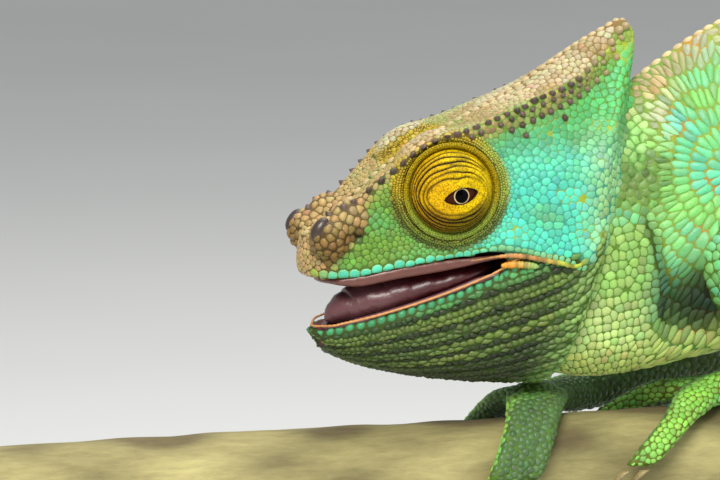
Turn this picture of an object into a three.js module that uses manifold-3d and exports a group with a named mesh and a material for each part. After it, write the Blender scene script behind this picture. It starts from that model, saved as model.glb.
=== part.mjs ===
// A life-size still model of an adult male Parson's chameleon with its mouth open, gripping a cut length of
// branch that a flat display stand holds up. Millimetres, +Z up. The animal faces -X and its left side is -Y.
// The origin is the centre of the stand's underside. Lengths on the animal are measured from its eye line:
// z = 0 at the centres of the eyes, x = 0 just behind them, y = 0 on the midplane.
import * as THREE from "three";
import { mergeVertices } from "three/addons/utils/BufferGeometryUtils.js";
import Module from "manifold-3d";

const wasm = await Module();
wasm.setup();

// ---- Driving dimensions -------------------------------------------------------------------------------
const GAP = 0.3; // between neighbouring pieces
const EYE_LINE = { x: -108, z: 149 }; // where the eye line stands in the part's frame
const BRANCH = { radius: 13, axisZ: -63.5, front: -108, rear: 230, sides: 12, steps: 7 };
const BASE = { length: 250, width: 120, height: 12, corner: 18, bevel: 2 };
const ROD = { radius: 5, x: [-48, 52], sides: 12 };
const EYE = { ahead: 0.8, side: 11.5, ball: 7.8, lid: 9.2, socket: 9.5, lean: 0.17 };
const SLIT = { length: 8.6, height: 4, rear: 1.2, drop: 0.8 }; // of the fused eyelids, off their pole
// Two points of the plane behind the cheeks and the casque.
const HEAD_REAR = { x: 34, z: -12, topX: 46.2, topZ: 29.8 };
const NECK_END = 58;
const TRUNK_END = 200;
const TAIL = { length: 285, height: 14.4, width: 11.4, tip: 1.5, steps: 28, sides: 8 };
const LEFT = -1;
const RIGHT = 1;

const SKIN = { colour: 0x58c39a, roughness: 0.55 };
const CROWN = { colour: 0xb7a888, roughness: 0.6 };
const LID = { colour: 0xc8b414, roughness: 0.5 };
const EYEBALL = { colour: 0x17100a, roughness: 0.1 };
const TONGUE = { colour: 0xb2666a, roughness: 0.3 };
const CLAW = { colour: 0x5c5038, roughness: 0.4 };
const BARK = { colour: 0xb9ad7c, roughness: 0.85 };
const STAND = { colour: 0x2a2623, roughness: 0.5 };
const STEEL = { colour: 0xb8babc, roughness: 0.3, metalness: 1 };

// ---- Helpers ------------------------------------------------------------------------------------------
const V = (x, y, z) => new THREE.Vector3(x, y, z);
const mix = (a, b, t) => a + (b - a) * t;

// A smooth curve through [x, value] pairs, as a function of x.
function profile(pairs) {
  const curve = new THREE.CubicInterpolant(pairs.map((p) => p[0]), pairs.map((p) => p[1]), 1);
  return (x) => curve.evaluate(x)[0];
}

function range(from, to, steps) {
  return Array.from({ length: steps + 1 }, (_, i) => mix(from, to, i / steps));
}

// A closed three.js geometry as a manifold-3d solid, with its faces turned outwards.
function solid(geometry) {
  const plain = geometry.index ? geometry.toNonIndexed() : geometry.clone();
  for (const name of Object.keys(plain.attributes)) if (name !== "position") plain.deleteAttribute(name);
  const merged = mergeVertices(plain, 1e-4);
  const triVerts = new Uint32Array(merged.index.array);
  const vertProperties = merged.attributes.position.array;
  const make = () => new wasm.Manifold(new wasm.Mesh({ numProp: 3, vertProperties, triVerts }));
  const made = make();
  if (made.volume() > 0) return made;
  triVerts.reverse();
  return make();
}

// A closed surface through rings of points that all have the same count, with a fan at each end.
function loft(rings) {
  const count = rings[0].length;
  const centre = (ring) => ring.reduce((sum, p) => sum.add(p), V(0, 0, 0)).divideScalar(count);
  const points = [...rings.flat(), centre(rings[0]), centre(rings.at(-1))];
  const index = [];
  for (let i = 0; i + 1 < rings.length; i++)
    for (let j = 0; j < count; j++) {
      const a = i * count + j;
      const b = i * count + ((j + 1) % count);
      index.push(a, b, b + count, a, b + count, a + count);
    }
  const last = (rings.length - 1) * count;
  for (let j = 0; j < count; j++) {
    const k = (j + 1) % count;
    index.push(points.length - 2, k, j, points.length - 1, last + j, last + k);
  }
  return solid(new THREE.BufferGeometry().setFromPoints(points).setIndex(index));
}

// Mirrors half an outline of [y, z] points, given from the bottom of the midplane to its top, into a ring.
function mirroredRing(x, half) {
  const other = half.slice(1, -1).reverse();
  return [...half.map(([y, z]) => V(x, y, z)), ...other.map(([y, z]) => V(x, -y, z))];
}

// A round or oval tube along a path of {at, along, side} frames. size(u) gives its half-width and half-height.
function tube(path, size, sides) {
  return loft(
    path.map(({ at, along, side, u }) => {
      const up = V(0, 0, 0).crossVectors(along, side).normalize();
      const [wide, high] = size(u);
      return range(0, 2 * Math.PI, sides).slice(0, -1).map((angle) =>
        at.clone().addScaledVector(side, wide * Math.cos(angle)).addScaledVector(up, high * Math.sin(angle)),
      );
    }),
  );
}

// Frames along a curve from u = from to u = to, with side kept square to the curve and close to hint.
function framesOf(curve, from, to, steps, hint) {
  return range(from, to, steps).map((u) => {
    const along = curve.getTangentAt(u);
    const side = hint.clone().addScaledVector(along, -hint.dot(along)).normalize();
    return { at: curve.getPointAt(u), along, side, u };
  });
}

function ellipsoid(centre, radii, turn = 0, segments = 12) {
  const shape = new THREE.SphereGeometry(1, segments, Math.round(segments * 0.7)).rotateX(Math.PI / 2);
  shape.scale(...radii).rotateY(turn).translate(centre.x, centre.y, centre.z);
  return solid(shape);
}

function placed(geometry, centre, axes) {
  return geometry.applyMatrix4(new THREE.Matrix4().makeBasis(...axes).setPosition(centre));
}

const animal = new THREE.Group();
animal.position.set(EYE_LINE.x, 0, EYE_LINE.z);
const stand = new THREE.Group();

function addNode(group, name, piece, { colour, roughness, metalness = 0 }) {
  const { numProp, numVert, vertProperties, triVerts } = piece.getMesh();
  const position = new Float32Array(numVert * 3);
  for (let i = 0; i < numVert; i++) position.set(vertProperties.subarray(i * numProp, i * numProp + 3), i * 3);
  const geometry = new THREE.BufferGeometry();
  geometry.setAttribute("position", new THREE.BufferAttribute(position, 3));
  geometry.setIndex(new THREE.BufferAttribute(new Uint32Array(triVerts), 1));
  const material = new THREE.MeshStandardMaterial({ color: colour, roughness, metalness, flatShading: true });
  const mesh = new THREE.Mesh(geometry, material);
  mesh.name = name;
  group.add(mesh);
}

// The solid's largest connected body, which drops slivers left by a cut.
function largest(piece) {
  return piece.decompose().sort((a, b) => b.volume() - a.volume())[0];
}

// ---- Head: upper head with casque, lower jaw, mouth ----------------------------------------------------
const upperLip = profile([
  [-30.5, -18.4], [-28, -18.9], [-10, -16.6], [2, -14.9], [12, -13.8], [22, -15.6], [31, -16.6],
  [34, -12], [37.5, -1], [41.5, 13], [44.5, 23.5], [46.5, 29.8],
]);
const lipWidth = profile([
  [-30.5, 2.6], [-28.5, 5.6], [-24, 8], [-15, 10.8], [0, 13.6], [12, 15.8], [24, 17], [31, 16.8],
  [34, 15.6], [37.5, 12], [41.5, 6.4], [44.5, 3.2], [46.5, 1.4],
]);
const cheekWidth = profile([
  [-30.5, 2.9], [-28.5, 6.2], [-24, 8], [-15, 9.6], [0, 12], [12, 15.4], [24, 17.8], [31, 17.2],
  [34, 16], [37.5, 12.6], [41.5, 7.2], [44.5, 3.6], [46.5, 1.6],
]);
const crestHeight = profile([
  [-30.5, -8.6], [-28.5, -7.3], [-25, -5.2], [-21, -1.6], [-15, 3.8], [-8, 8.8], [0, 12.6], [5, 14],
  [11, 16.2], [20, 19.6], [29.5, 23], [36.5, 27.4], [43.7, 33.4], [46.5, 31.6],
]);
const crestWidth = profile([
  [-30.5, 2.4], [-28.5, 5], [-25, 7], [-21, 8.2], [-15, 10.2], [-8, 12.2], [0, 13.4], [8, 13.6],
  [20, 12.2], [29.5, 9.4], [36.5, 5.8], [43.7, 2.6], [46.5, 1.4],
]);
const crownHeight = profile([
  [-30.5, -9.4], [-28.5, -8.6], [-25, -6.8], [-21, -3.6], [-15, 2], [-8, 7.2], [0, 11.6], [8, 15.6],
  [20, 22], [29.5, 28.2], [38, 33], [43.7, 35], [46.5, 32],
]);
const HEAD_STATIONS = [-30.5, -29, -26, -22, -16.5, -10, -3, 4, 11, 18, 25, 31, 34, 38.5, 43, 46.5];

function upperHead(grow = 0) {
  return loft(
    HEAD_STATIONS.map((x) => {
      const low = upperLip(x) - grow;
      const lip = lipWidth(x) + grow;
      const cheek = cheekWidth(x) + grow;
      const crest = crestWidth(x) + grow;
      const top = crestHeight(x) + grow;
      const crown = crownHeight(x) + grow;
      const at = (t) => mix(low, top, t);
      return mirroredRing(x, [
        [0, low], [lip, low], [mix(lip, cheek, 0.6), at(0.14)], [cheek, at(0.32)],
        [cheek, at(0.52)], [mix(cheek, crest, 0.7) - 0.7, at(0.74)], [crest - 0.5, at(0.9)], [crest, top],
        [crest - 1.3, top + 0.25], [0.5 * crest, mix(top, crown, 0.68)], [0, crown],
      ]);
    }),
  );
}

const lowerLip = profile([
  [-28.5, -28.9], [-26, -28.2], [-16, -25.6], [-6, -22.6], [4, -18.9], [12, -15.3], [20, -11], [34, -6],
]);
const jawWidth = profile([[-28.5, 3], [-26.8, 5.2], [-21, 8.2], [-6, 12.2], [12, 15.6], [24, 17], [34, 16.4]]);
const throatLine = profile([
  [-28.5, -31], [-26.8, -33.6], [-22, -36.4], [-12, -39.6], [0, -41.8], [14, -43.2], [38, -43.6],
]);
const JAW_STATIONS = [-28.5, -27.4, -25, -20.5, -13.5, -5, 4, 13, 22, 34];

function lowerJaw() {
  return loft(
    JAW_STATIONS.map((x) => {
      const top = lowerLip(x);
      const low = throatLine(x);
      const wide = jawWidth(x);
      const at = (t) => mix(top, low, t);
      return mirroredRing(x, [
        [0, low], [0.3 * wide, at(0.985)], [0.58 * wide, at(0.92)], [0.82 * wide, at(0.78)],
        [0.97 * wide, at(0.56)], [1.02 * wide, at(0.3)], [wide, at(0.08)], [wide - 0.7, top], [0, top],
      ]);
    }),
  );
}

// The hollow between palate and tongue, open at the gape.
function mouthHollow() {
  return loft(
    [-26.2, -24, -18, -10, -1, 8, 15].map((x) => {
      const end = x > 10 ? 0.35 + 0.65 * ((15.4 - x) / 5.4) : 1;
      const wide = Math.max(0.5, (Math.min(lipWidth(x), jawWidth(x)) - 2) * end * (x < -25 ? 0.6 : 1));
      const high = upperLip(x) + 4.2 * end;
      const low = Math.min(lowerLip(x), upperLip(x)) - 4.8 * end;
      const middle = (high + low) / 2;
      return range(0, 2 * Math.PI, 10).slice(0, -1).map((angle) => {
        const across = Math.cos(angle);
        const over = Math.sin(angle);
        const square = (Math.abs(across) ** 3 + Math.abs(over) ** 3) ** (-1 / 3);
        return V(x, wide * across * square, middle + ((high - low) / 2) * over * square);
      });
    }),
  );
}

// The plane behind the cheeks and the casque. side is 1 for what lies in front of it, -1 for what lies behind.
function cutBehindHead(piece, side) {
  const along = V(HEAD_REAR.topX - HEAD_REAR.x, 0, HEAD_REAR.topZ - HEAD_REAR.z).normalize();
  const rearward = V(along.z, 0, -along.x);
  const offset = rearward.dot(V(HEAD_REAR.x, 0, HEAD_REAR.z));
  const keep = rearward.clone().multiplyScalar(-side);
  return piece.trimByPlane(keep.toArray(), -side * offset + GAP / 2);
}

// ---- Eyes ---------------------------------------------------------------------------------------------
// The frame of an eye: its centre, and axes that point along the head, up and out along the line of sight.
function eyeFrame(side) {
  const out = V(-EYE.lean, side, 0.02).normalize();
  const up = V(0, 0, 1).addScaledVector(out, -out.z).normalize();
  return { side, centre: V(-EYE.ahead, side * EYE.side, 0), axes: [V(0, 0, 0).crossVectors(up, out), up, out] };
}

// A body turned about the sight line, from [radius, height along that line] pairs that start and end at radius 0.
function turned(frame, outline, segments) {
  const shape = new THREE.LatheGeometry(outline.map(([r, h]) => new THREE.Vector2(r, h)), segments);
  return solid(placed(shape.rotateX(Math.PI / 2), frame.centre, frame.axes));
}

// Outline points of a sphere from one height to another along the sight line.
function arc(radius, fromHeight, toHeight, steps) {
  const angles = range(Math.asin(fromHeight / radius), Math.asin(toHeight / radius), steps);
  return angles.map((angle) => [Math.max(0, radius * Math.cos(angle)), radius * Math.sin(angle)]);
}

// The raised ring of skin that the eyelid cone turns in.
function eyeRing(frame) {
  return turned(frame, [[0, -6], [13.2, -6], [12.7, 0.2], [10.3, 3.5], [9, 3.2], [8, -2], [0, -2]], 16);
}

// The seat that ring and head leave for eyelid and eyeball.
function socket(frame) {
  const { ball, socket: seat } = EYE;
  return turned(frame, [...arc(ball + GAP, -ball - GAP, -1 - GAP, 3), [seat, -1 - GAP], [seat, 9], [0, 9]], 16);
}

// The fused eyelids: a dome with a lens-shaped slit.
function eyelid(frame) {
  const { ball, lid } = EYE;
  const dome = turned(frame, [[0, -1], ...arc(lid, -1, lid, 5)], 12);
  const inside = turned(frame, [[0, -1.5], ...arc(ball + GAP, -1.5, ball + GAP, 4)], 12);
  const slit = new THREE.Shape();
  const { length, height, rear, drop } = SLIT;
  const middle = -frame.side * rear;
  slit.moveTo(middle - length / 2, -drop);
  slit.quadraticCurveTo(middle, height - drop, middle + length / 2, -drop);
  slit.quadraticCurveTo(middle, -height - drop, middle - length / 2, -drop);
  const cutter = new THREE.ExtrudeGeometry(slit, { depth: 20, bevelEnabled: false, curveSegments: 3 });
  return dome.subtract(inside).subtract(solid(placed(cutter, frame.centre, frame.axes)));
}

function eyeball(frame) {
  return turned(frame, arc(EYE.ball, -EYE.ball, EYE.ball, 7), 12);
}

// ---- Rostral processes: the pair of warty lobes on the snout --------------------------------------------
function rostralProcess(side) {
  const lobe = ellipsoid(V(-26, side * 7.4, -9.5), [4.7, 4.5, 5], 0.35, 8);
  const root = ellipsoid(V(-21.5, side * 7.2, -5.6), [5, 2.8, 4], 0.75, 7);
  return lobe.add(root);
}

// ---- Neck and trunk -------------------------------------------------------------------------------------
const backLine = profile([
  [20, 6], [34, 12.5], [44, 20.7], [51.5, 26], [60, 31.2], [75, 37.4], [98, 43], [125, 45], [152, 41],
  [176, 31], [192, 20.5], [TRUNK_END, 15],
]);
const bellyLine = profile([
  [20, -40], [34, -43.2], [46, -42.6], [58, -40.4], [75, -38.2], [98, -38], [125, -38.5], [152, -35.5], [176, -26],
  [192, -17], [TRUNK_END, -13.8],
]);
const flankWidth = profile([
  [20, 12], [34, 14.2], [46, 14.8], [58, 17], [75, 20], [98, 22.4], [125, 23], [152, 21.4], [176, 17.2],
  [192, 13.2], [TRUNK_END, TAIL.width],
]);
const SHOULDER = { x: 57.5, side: 10.5, z: -16, radii: [13.5, 9, 15] };
const BODY_STATIONS = [20, 28, 36, 43, 50, 58, 69, 83, 99, 116, 133, 150, 165, 178, 189, TRUNK_END];

function bodyRing(x, grow = 0) {
  const top = backLine(x) + grow;
  const low = bellyLine(x) - grow;
  const wide = flankWidth(x) + grow;
  const keel = Math.min(1, (TRUNK_END - x) / 40) * 0.32; // the back narrows to a ridge, the belly is rounder
  const half = range(-Math.PI / 2, Math.PI / 2, 9).map((angle) => {
    const rise = Math.sin(angle);
    const ridge = rise > 0 ? 1 + keel : 0.92;
    return [wide * Math.cos(angle) ** ridge, mix(low, top, 0.5 * (1 + rise))];
  });
  half[0][0] = 0;
  half.at(-1)[0] = 0;
  return mirroredRing(x, half);
}

function body(grow = 0) {
  const { x, side, z, radii } = SHOULDER;
  const shoulder = ellipsoid(V(x, -side, z), radii.map((radius) => radius + grow), 0, 7);
  const flanks = loft(BODY_STATIONS.map((station) => bodyRing(station, grow)));
  return flanks.add(shoulder).add(shoulder.translate([0, 2 * side, 0]));
}

// ---- Tail -----------------------------------------------------------------------------------------------
// The tail runs back and down, then curls forwards under itself in a spiral whose bend tightens to the tip.
function tailPath() {
  const path = [];
  const at = V(TRUNK_END + GAP, 0, 0.6);
  let heading = 0;
  const step = TAIL.length / TAIL.steps;
  for (let i = 0; i <= TAIL.steps; i++) {
    const u = i / TAIL.steps;
    path.push({ at: at.clone(), along: V(Math.cos(heading), 0, -Math.sin(heading)), side: V(0, 1, 0), u });
    const bend = u < 0.24 ? 0.0085 * Math.min(1, u * 14) : 0.0245 + 0.085 * ((u - 0.24) / 0.76) ** 1.9;
    heading += bend * step;
    at.x += Math.cos(heading) * step;
    at.z -= Math.sin(heading) * step;
  }
  return path;
}

const tailHeight = profile([[0, TAIL.height], [0.08, 10.6], [0.2, 8.4], [0.45, 5.6], [0.75, 3], [1, TAIL.tip]]);
const tailWidth = profile([[0, TAIL.width], [0.08, 9], [0.2, 7.4], [0.45, 5], [0.75, 2.7], [1, TAIL.tip]]);

function tailPieces() {
  const path = tailPath();
  const size = (u) => [tailWidth(u), tailHeight(u)];
  const cuts = [0, 5, 11, 19, TAIL.steps];
  const names = ["tail_base", "tail_middle", "tail_coil", "tail_tip"];
  return names.map((name, i) => {
    const frames = path.slice(cuts[i], cuts[i + 1] + 1);
    if (i + 1 < names.length) {
      const end = { ...frames.at(-1) };
      end.at = end.at.clone().addScaledVector(end.along, -GAP);
      frames[frames.length - 1] = end;
    }
    return [name, tube(frames, size, TAIL.sides)];
  });
}

// ---- Limbs ----------------------------------------------------------------------------------------------
const GRIP_TOP = BRANCH.axisZ + BRANCH.radius;
const FORE = { names: ["upper_arm", "forearm", "hand"], inner: 3, outer: 2, radii: [12.5, 8.6, 6.4, 5.8, 5] };
const HIND = { names: ["thigh", "shin", "foot"], inner: 2, outer: 3, radii: [13, 9.4, 6.6, 5.8, 5] };
// grip is where the palm sits along the branch, and lean how far the digits run forwards for each radian round it.
const LIMBS = [
  {
    kind: FORE, side: LEFT, tag: "left",
    root: V(60, -13, -13), bend: V(96, -41, -37), wrist: V(76, -12, -42), grip: 66, lean: -18,
  },
  {
    kind: FORE, side: RIGHT, tag: "right",
    root: V(60, 13, -13), bend: V(79, 38, -45), wrist: V(41, 19, -49.5), grip: 24, lean: -8,
  },
  {
    kind: HIND, side: LEFT, tag: "left",
    root: V(182, -7, -5), bend: V(156, -38, -24), wrist: V(184, -12, -42.5), grip: 176, lean: -5,
  },
  {
    kind: HIND, side: RIGHT, tag: "right",
    root: V(182, 7, -5), bend: V(170, 39, -28), wrist: V(209, 12, -42.5), grip: 201, lean: -6.5,
  },
];

// A straight length of limb whose radius runs through [u, radius] pairs, one ring at each pair.
function limbLength(from, to, pairs) {
  const along = to.clone().sub(from).normalize();
  const side = V(0.2, 0, 1).addScaledVector(along, -along.dot(V(0.2, 0, 1))).normalize();
  const thick = new Map(pairs);
  const frames = pairs.map(([u]) => ({ at: from.clone().lerp(to, u), along, side, u }));
  return tube(frames, (u) => [thick.get(u), thick.get(u)], 8);
}

const PALM = { reach: 0.66, width: 8.1, height: 2.95, clear: 0.45, sides: 8 };
const DIGIT = { from: 0.36, to: 1.72, base: 3.4, tip: 2.4, pitch: 4, spread: 0.9, clear: 0.8 };
const CLAW_SIZE = { length: 6.4, base: 1.4, tip: 0.35, sides: 4 };

// A point beside the bark: angle runs from the top of the branch down one side, out is the distance off the bark.
function barkPoint({ grip, lean }, side, angle, across, out) {
  const radius = BRANCH.radius + out;
  const x = grip + lean * Math.abs(angle) + across;
  return V(x, side * radius * Math.sin(angle), BRANCH.axisZ + radius * Math.cos(angle));
}

// The palm, which straddles the top of the branch and narrows towards both bundles of digits.
function palmPiece(limb) {
  const { reach, width, height, clear, sides } = PALM;
  const rings = [[-1, 0.66], [-0.5, 0.95], [0, 1], [0.5, 0.95], [1, 0.66]].map(([u, full]) =>
    range(0, 2 * Math.PI, sides).slice(0, -1).map((turn) =>
      barkPoint(limb, 1, u * reach, width * full * Math.cos(turn), clear + height * (1 + full * Math.sin(turn))),
    ),
  );
  return loft(rings);
}

// Where digit i of a bundle of count lies across the branch, and how far round the branch it ends.
function digitLine(limb, i, count) {
  const place = i - (count - 1) / 2;
  const to = DIGIT.to - 0.09 * Math.abs(place) - 0.012 * Math.abs(limb.lean);
  return { across: (angle) => place * (DIGIT.pitch + DIGIT.spread * (angle - 1)), to };
}

// A bundle of digits joined up to their tips, as in all chameleons, with a groove between each pair.
function digitBundle(limb, count, side) {
  const lines = range(0, count - 1, count - 1).map((i) => digitLine(limb, i, count));
  const rings = [0, 0.3, 0.6, 0.88, 1].map((u) => {
    const thick = mix(DIGIT.base, DIGIT.tip, u) * (u === 1 ? 0.55 : 1);
    const centre = DIGIT.clear + 0.85 * mix(DIGIT.base, DIGIT.tip, u);
    const point = (line, across, up, back = 0) => {
      const angle = mix(DIGIT.from, line.to - back * u * u, u);
      return barkPoint(limb, side, angle, line.across(angle) + across * thick, centre + up * thick);
    };
    const [first, last] = [lines[0], lines.at(-1)];
    const groove = (1.8 / Math.hypot(BRANCH.radius, limb.lean)) * (u === 1 ? 0.5 : 1);
    const over = lines.flatMap((line, i) => {
      const crest = [point(line, -0.5, 0.9), point(line, 0.5, 0.9)];
      return i ? [point(line, -DIGIT.pitch / 2 / thick, 0.35, groove), ...crest] : crest;
    });
    const under = [point(last, 0.6, -0.85), point(first, -0.6, -0.85)];
    return [point(first, -1, 0.1), ...over, point(last, 1, 0.1), ...under];
  });
  return loft(rings);
}

// The claw of one digit, hooked against the bark just past the digit's tip.
function claw(limb, i, count, side) {
  const line = digitLine(limb, i, count);
  const round = Math.hypot(BRANCH.radius + DIGIT.tip, limb.lean);
  const start = line.to + GAP / round;
  const rings = [0, 0.5, 1].map((u) => {
    const angle = start + (u * CLAW_SIZE.length) / round;
    const thick = mix(CLAW_SIZE.base, CLAW_SIZE.tip, u);
    const lift = mix(DIGIT.tip + DIGIT.clear, 0.9, u * u);
    return range(0, 2 * Math.PI, CLAW_SIZE.sides).slice(0, -1).map((turn) => {
      const across = line.across(angle) + 0.75 * thick * Math.cos(turn);
      return barkPoint(limb, side, angle, across, lift + thick * Math.sin(turn));
    });
  });
  return loft(rings);
}

function addLimb(limb, branchSpace, trunkSpace) {
  const { kind, side, tag, root, bend, wrist } = limb;
  const [upperName, lowerName, endName] = kind.names.map((name) => `${name}_${tag}`);
  const [rootRadius, upperRadius, bendRadius, lowerRadius, wristRadius] = kind.radii;
  const joint = ellipsoid(bend, [bendRadius, bendRadius, bendRadius], 0, 7);
  const downUpper = bend.clone().sub(root).normalize();
  const downLower = wrist.clone().sub(bend).normalize();
  const across = downUpper.clone().add(downLower).normalize();
  const shoulder = [[0, 0.62 * rootRadius], [0.1, 0.92 * rootRadius], [0.24, rootRadius]];
  const upper = limbLength(root, bend, [...shoulder, [0.6, upperRadius], [1, bendRadius]]).add(joint);
  const lower = limbLength(bend, wrist, [[0, bendRadius], [0.5, lowerRadius], [1, wristRadius]]).add(joint);
  const bendPlane = across.dot(bend);
  const upperPart = upper.trimByPlane(across.clone().negate().toArray(), -bendPlane + GAP / 2);
  const lowerPart = lower.trimByPlane(across.toArray(), bendPlane + GAP / 2);
  addNode(animal, upperName, largest(upperPart.subtract(trunkSpace)), SKIN);
  addNode(animal, lowerName, largest(lowerPart.subtract(branchSpace)), SKIN);

  const palm = V(limb.grip + 0.1 * limb.lean, side * 1.3, GRIP_TOP + 3.3);
  const wristSide = V(0, 0, 1).addScaledVector(downLower, -downLower.z).normalize();
  const ahead = wrist.clone().addScaledVector(downLower, GAP);
  const handLine = new THREE.LineCurve3(ahead, palm);
  const thick = (u) => mix(wristRadius, 3, u);
  let hand = tube(framesOf(handLine, 0, 1, 2, wristSide), (u) => [thick(u), thick(u)], 7);
  hand = hand.add(palmPiece(limb));
  const bundles = [["inner", kind.inner, -side], ["outer", kind.outer, side]];
  for (const [, count, toward] of bundles) hand = hand.add(digitBundle(limb, count, toward));
  const sleeve = limbLength(ahead, bend, [[0, wristRadius + 1.2], [1, bendRadius + 1]]);
  hand = hand.subtract(sleeve.trimByPlane(downLower.clone().negate().toArray(), -downLower.dot(ahead)));
  addNode(animal, endName, largest(hand), SKIN);
  for (const [label, count, toward] of bundles)
    for (let i = 0; i < count; i++)
      addNode(animal, `claw_${endName}_${label}_${i + 1}`, claw(limb, i, count, toward), CLAW);
}

// ---- Branch and stand ------------------------------------------------------------------------------------
function branch(grow = 0) {
  const rings = range(BRANCH.front, BRANCH.rear, BRANCH.steps).map((x) =>
    range(0, 2 * Math.PI, BRANCH.sides).slice(0, -1).map((angle) => {
      const knot = 0.35 * Math.sin(3 * angle + x / 23) + 0.3 * Math.sin(2 * angle - x / 37);
      const radius = BRANCH.radius + Math.min(0, knot - 0.3) + grow;
      return V(x, radius * Math.cos(angle), BRANCH.axisZ + radius * Math.sin(angle));
    }),
  );
  return loft(rings);
}

function standBase() {
  const { length, width, height, corner, bevel } = BASE;
  const halfX = length / 2 - bevel;
  const halfY = width / 2 - bevel;
  const outline = new THREE.Shape();
  const corners = [[1, 1, 0], [-1, 1, 1], [-1, -1, 2], [1, -1, 3]];
  for (const [sx, sy, turn] of corners) {
    const start = turn * (Math.PI / 2);
    outline.absarc(sx * (halfX - corner), sy * (halfY - corner), corner, start, start + Math.PI / 2);
  }
  const plate = new THREE.ExtrudeGeometry(outline, {
    depth: height - bevel, bevelSize: bevel, bevelThickness: bevel, bevelSegments: 1, curveSegments: 4,
  });
  return solid(plate).trimByPlane([0, 0, 1], 0);
}

function standRod(x, branchSpace) {
  const high = EYE_LINE.z + BRANCH.axisZ;
  const rod = new THREE.CylinderGeometry(ROD.radius, ROD.radius, high - BASE.height - GAP, ROD.sides);
  rod.rotateX(Math.PI / 2).translate(x, 0, (high + BASE.height + GAP) / 2);
  return solid(rod).subtract(branchSpace.translate([EYE_LINE.x, 0, EYE_LINE.z]));
}

// ---- Assembly --------------------------------------------------------------------------------------------
const eyes = { left: eyeFrame(LEFT), right: eyeFrame(RIGHT) };
const hollow = mouthHollow();
const branchSpace = branch(GAP);
const trunkSpace = body(GAP);

let head = cutBehindHead(upperHead(), 1).subtract(hollow);
for (const frame of Object.values(eyes)) head = head.add(eyeRing(frame));
for (const frame of Object.values(eyes)) head = head.subtract(socket(frame));
const headSpace = upperHead(GAP);
addNode(animal, "head", largest(head), SKIN);
const jaw = cutBehindHead(lowerJaw(), 1).subtract(hollow);
addNode(animal, "lower_jaw", largest(jaw.subtract(headSpace)), SKIN);
const tongue = ellipsoid(V(-5, 0, -22.5), [20, 8.5, 6.5], 0.25, 9);
addNode(animal, "tongue", tongue.intersect(hollow.scale([1, 0.93, 1])), TONGUE);

for (const [tag, frame] of Object.entries(eyes)) {
  addNode(animal, `eyelid_${tag}`, eyelid(frame), LID);
  addNode(animal, `eyeball_${tag}`, eyeball(frame), EYEBALL);
  const process = rostralProcess(tag === "left" ? LEFT : RIGHT);
  addNode(animal, `rostral_process_${tag}`, largest(process.subtract(headSpace)), CROWN);
}

const neck = cutBehindHead(body(), -1).trimByPlane([-1, 0, 0], -(NECK_END - GAP / 2));
addNode(animal, "neck", largest(neck), SKIN);
addNode(animal, "trunk", body().trimByPlane([1, 0, 0], NECK_END + GAP / 2), SKIN);
for (const [name, piece] of tailPieces()) addNode(animal, name, piece, SKIN);
for (const limb of LIMBS) addLimb(limb, branchSpace, trunkSpace);

addNode(animal, "perch_branch", branch(), BARK);
addNode(stand, "stand_base", standBase(), STAND);
ROD.x.forEach((x, i) => addNode(stand, `stand_rod_${i ? "rear" : "front"}`, standRod(x, branchSpace), STEEL));

export default new THREE.Group().add(animal, stand);
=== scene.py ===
"""Looks of the life-size Parson's chameleon on its perch: skin, scales, eyes, claws, mouth, bark and stand.

Lengths on the animal are in millimetres from its eye line, as in the CAD source: z = 0 at the centres of
the eyes, x = 0 just behind them, y = 0 on the midplane, -x ahead and -y the animal's left. Meshes are made
in metres in the frame.
"""

import math
from functools import partial, reduce

import bpy
import numpy as np
import openvdb as vdb
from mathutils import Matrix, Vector
from mathutils.bvhtree import BVHTree
from mathutils.kdtree import KDTree


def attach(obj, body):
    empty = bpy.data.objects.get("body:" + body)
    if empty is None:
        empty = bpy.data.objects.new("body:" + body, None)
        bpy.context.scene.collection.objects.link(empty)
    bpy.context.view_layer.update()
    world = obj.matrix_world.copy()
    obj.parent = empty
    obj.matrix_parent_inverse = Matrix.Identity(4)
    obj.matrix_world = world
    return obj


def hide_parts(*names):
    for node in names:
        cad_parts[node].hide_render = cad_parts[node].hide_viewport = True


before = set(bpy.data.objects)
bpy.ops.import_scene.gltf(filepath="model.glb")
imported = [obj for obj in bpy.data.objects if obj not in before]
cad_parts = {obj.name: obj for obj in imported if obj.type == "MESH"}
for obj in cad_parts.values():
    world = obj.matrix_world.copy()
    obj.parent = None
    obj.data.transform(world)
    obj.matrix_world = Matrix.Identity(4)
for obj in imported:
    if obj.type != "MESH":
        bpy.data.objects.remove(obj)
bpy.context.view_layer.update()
RNG = np.random.default_rng(7)

# ---- Driving dimensions, shared with the CAD source ----
EYE_LINE = np.array([-108.0, 0.0, 149.0])
BRANCH_RADIUS = 13.0
BRANCH_Z = -63.5
BRANCH_FRONT, BRANCH_REAR = -108.0, 230.0
EYE_AHEAD, EYE_SIDE, EYE_LEAN = 0.8, 11.5, 0.17
BALL_RADIUS, LID_RADIUS, SOCKET_RADIUS = 7.8, 9.2, 9.5
TRUNK_END = 200.0
TAIL_LENGTH = 285.0
GRIP_TOP = BRANCH_Z + BRANCH_RADIUS
HEAD_REAR = ((34.0, -12.0), (46.2, 29.8))
LEFT, RIGHT = -1, 1
SIDES_AND_TAGS = ((LEFT, "left"), (RIGHT, "right"))

STATION = 0.7  # between the rings of the head, jaw and mouth
VOXEL = 1.0
BAND = 8  # reach of the distance fields, in voxels
COAT_DEPTH = 0.45  # room left over the skin for its scales
GRID_LOW = np.array([-37.0, -50.0, -112.0])
GRID_HIGH = np.array([300.0, 50.0, 50.0])


# ---- Small numerical helpers ----
def mix(a, b, t):
    return a + (b - a) * t


def smooth(low, high, value):
    """0 below low, 1 above high, and a smooth step between."""
    t = np.clip((value - low) / (high - low), 0.0, 1.0)
    return t * t * (3.0 - 2.0 * t)


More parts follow.
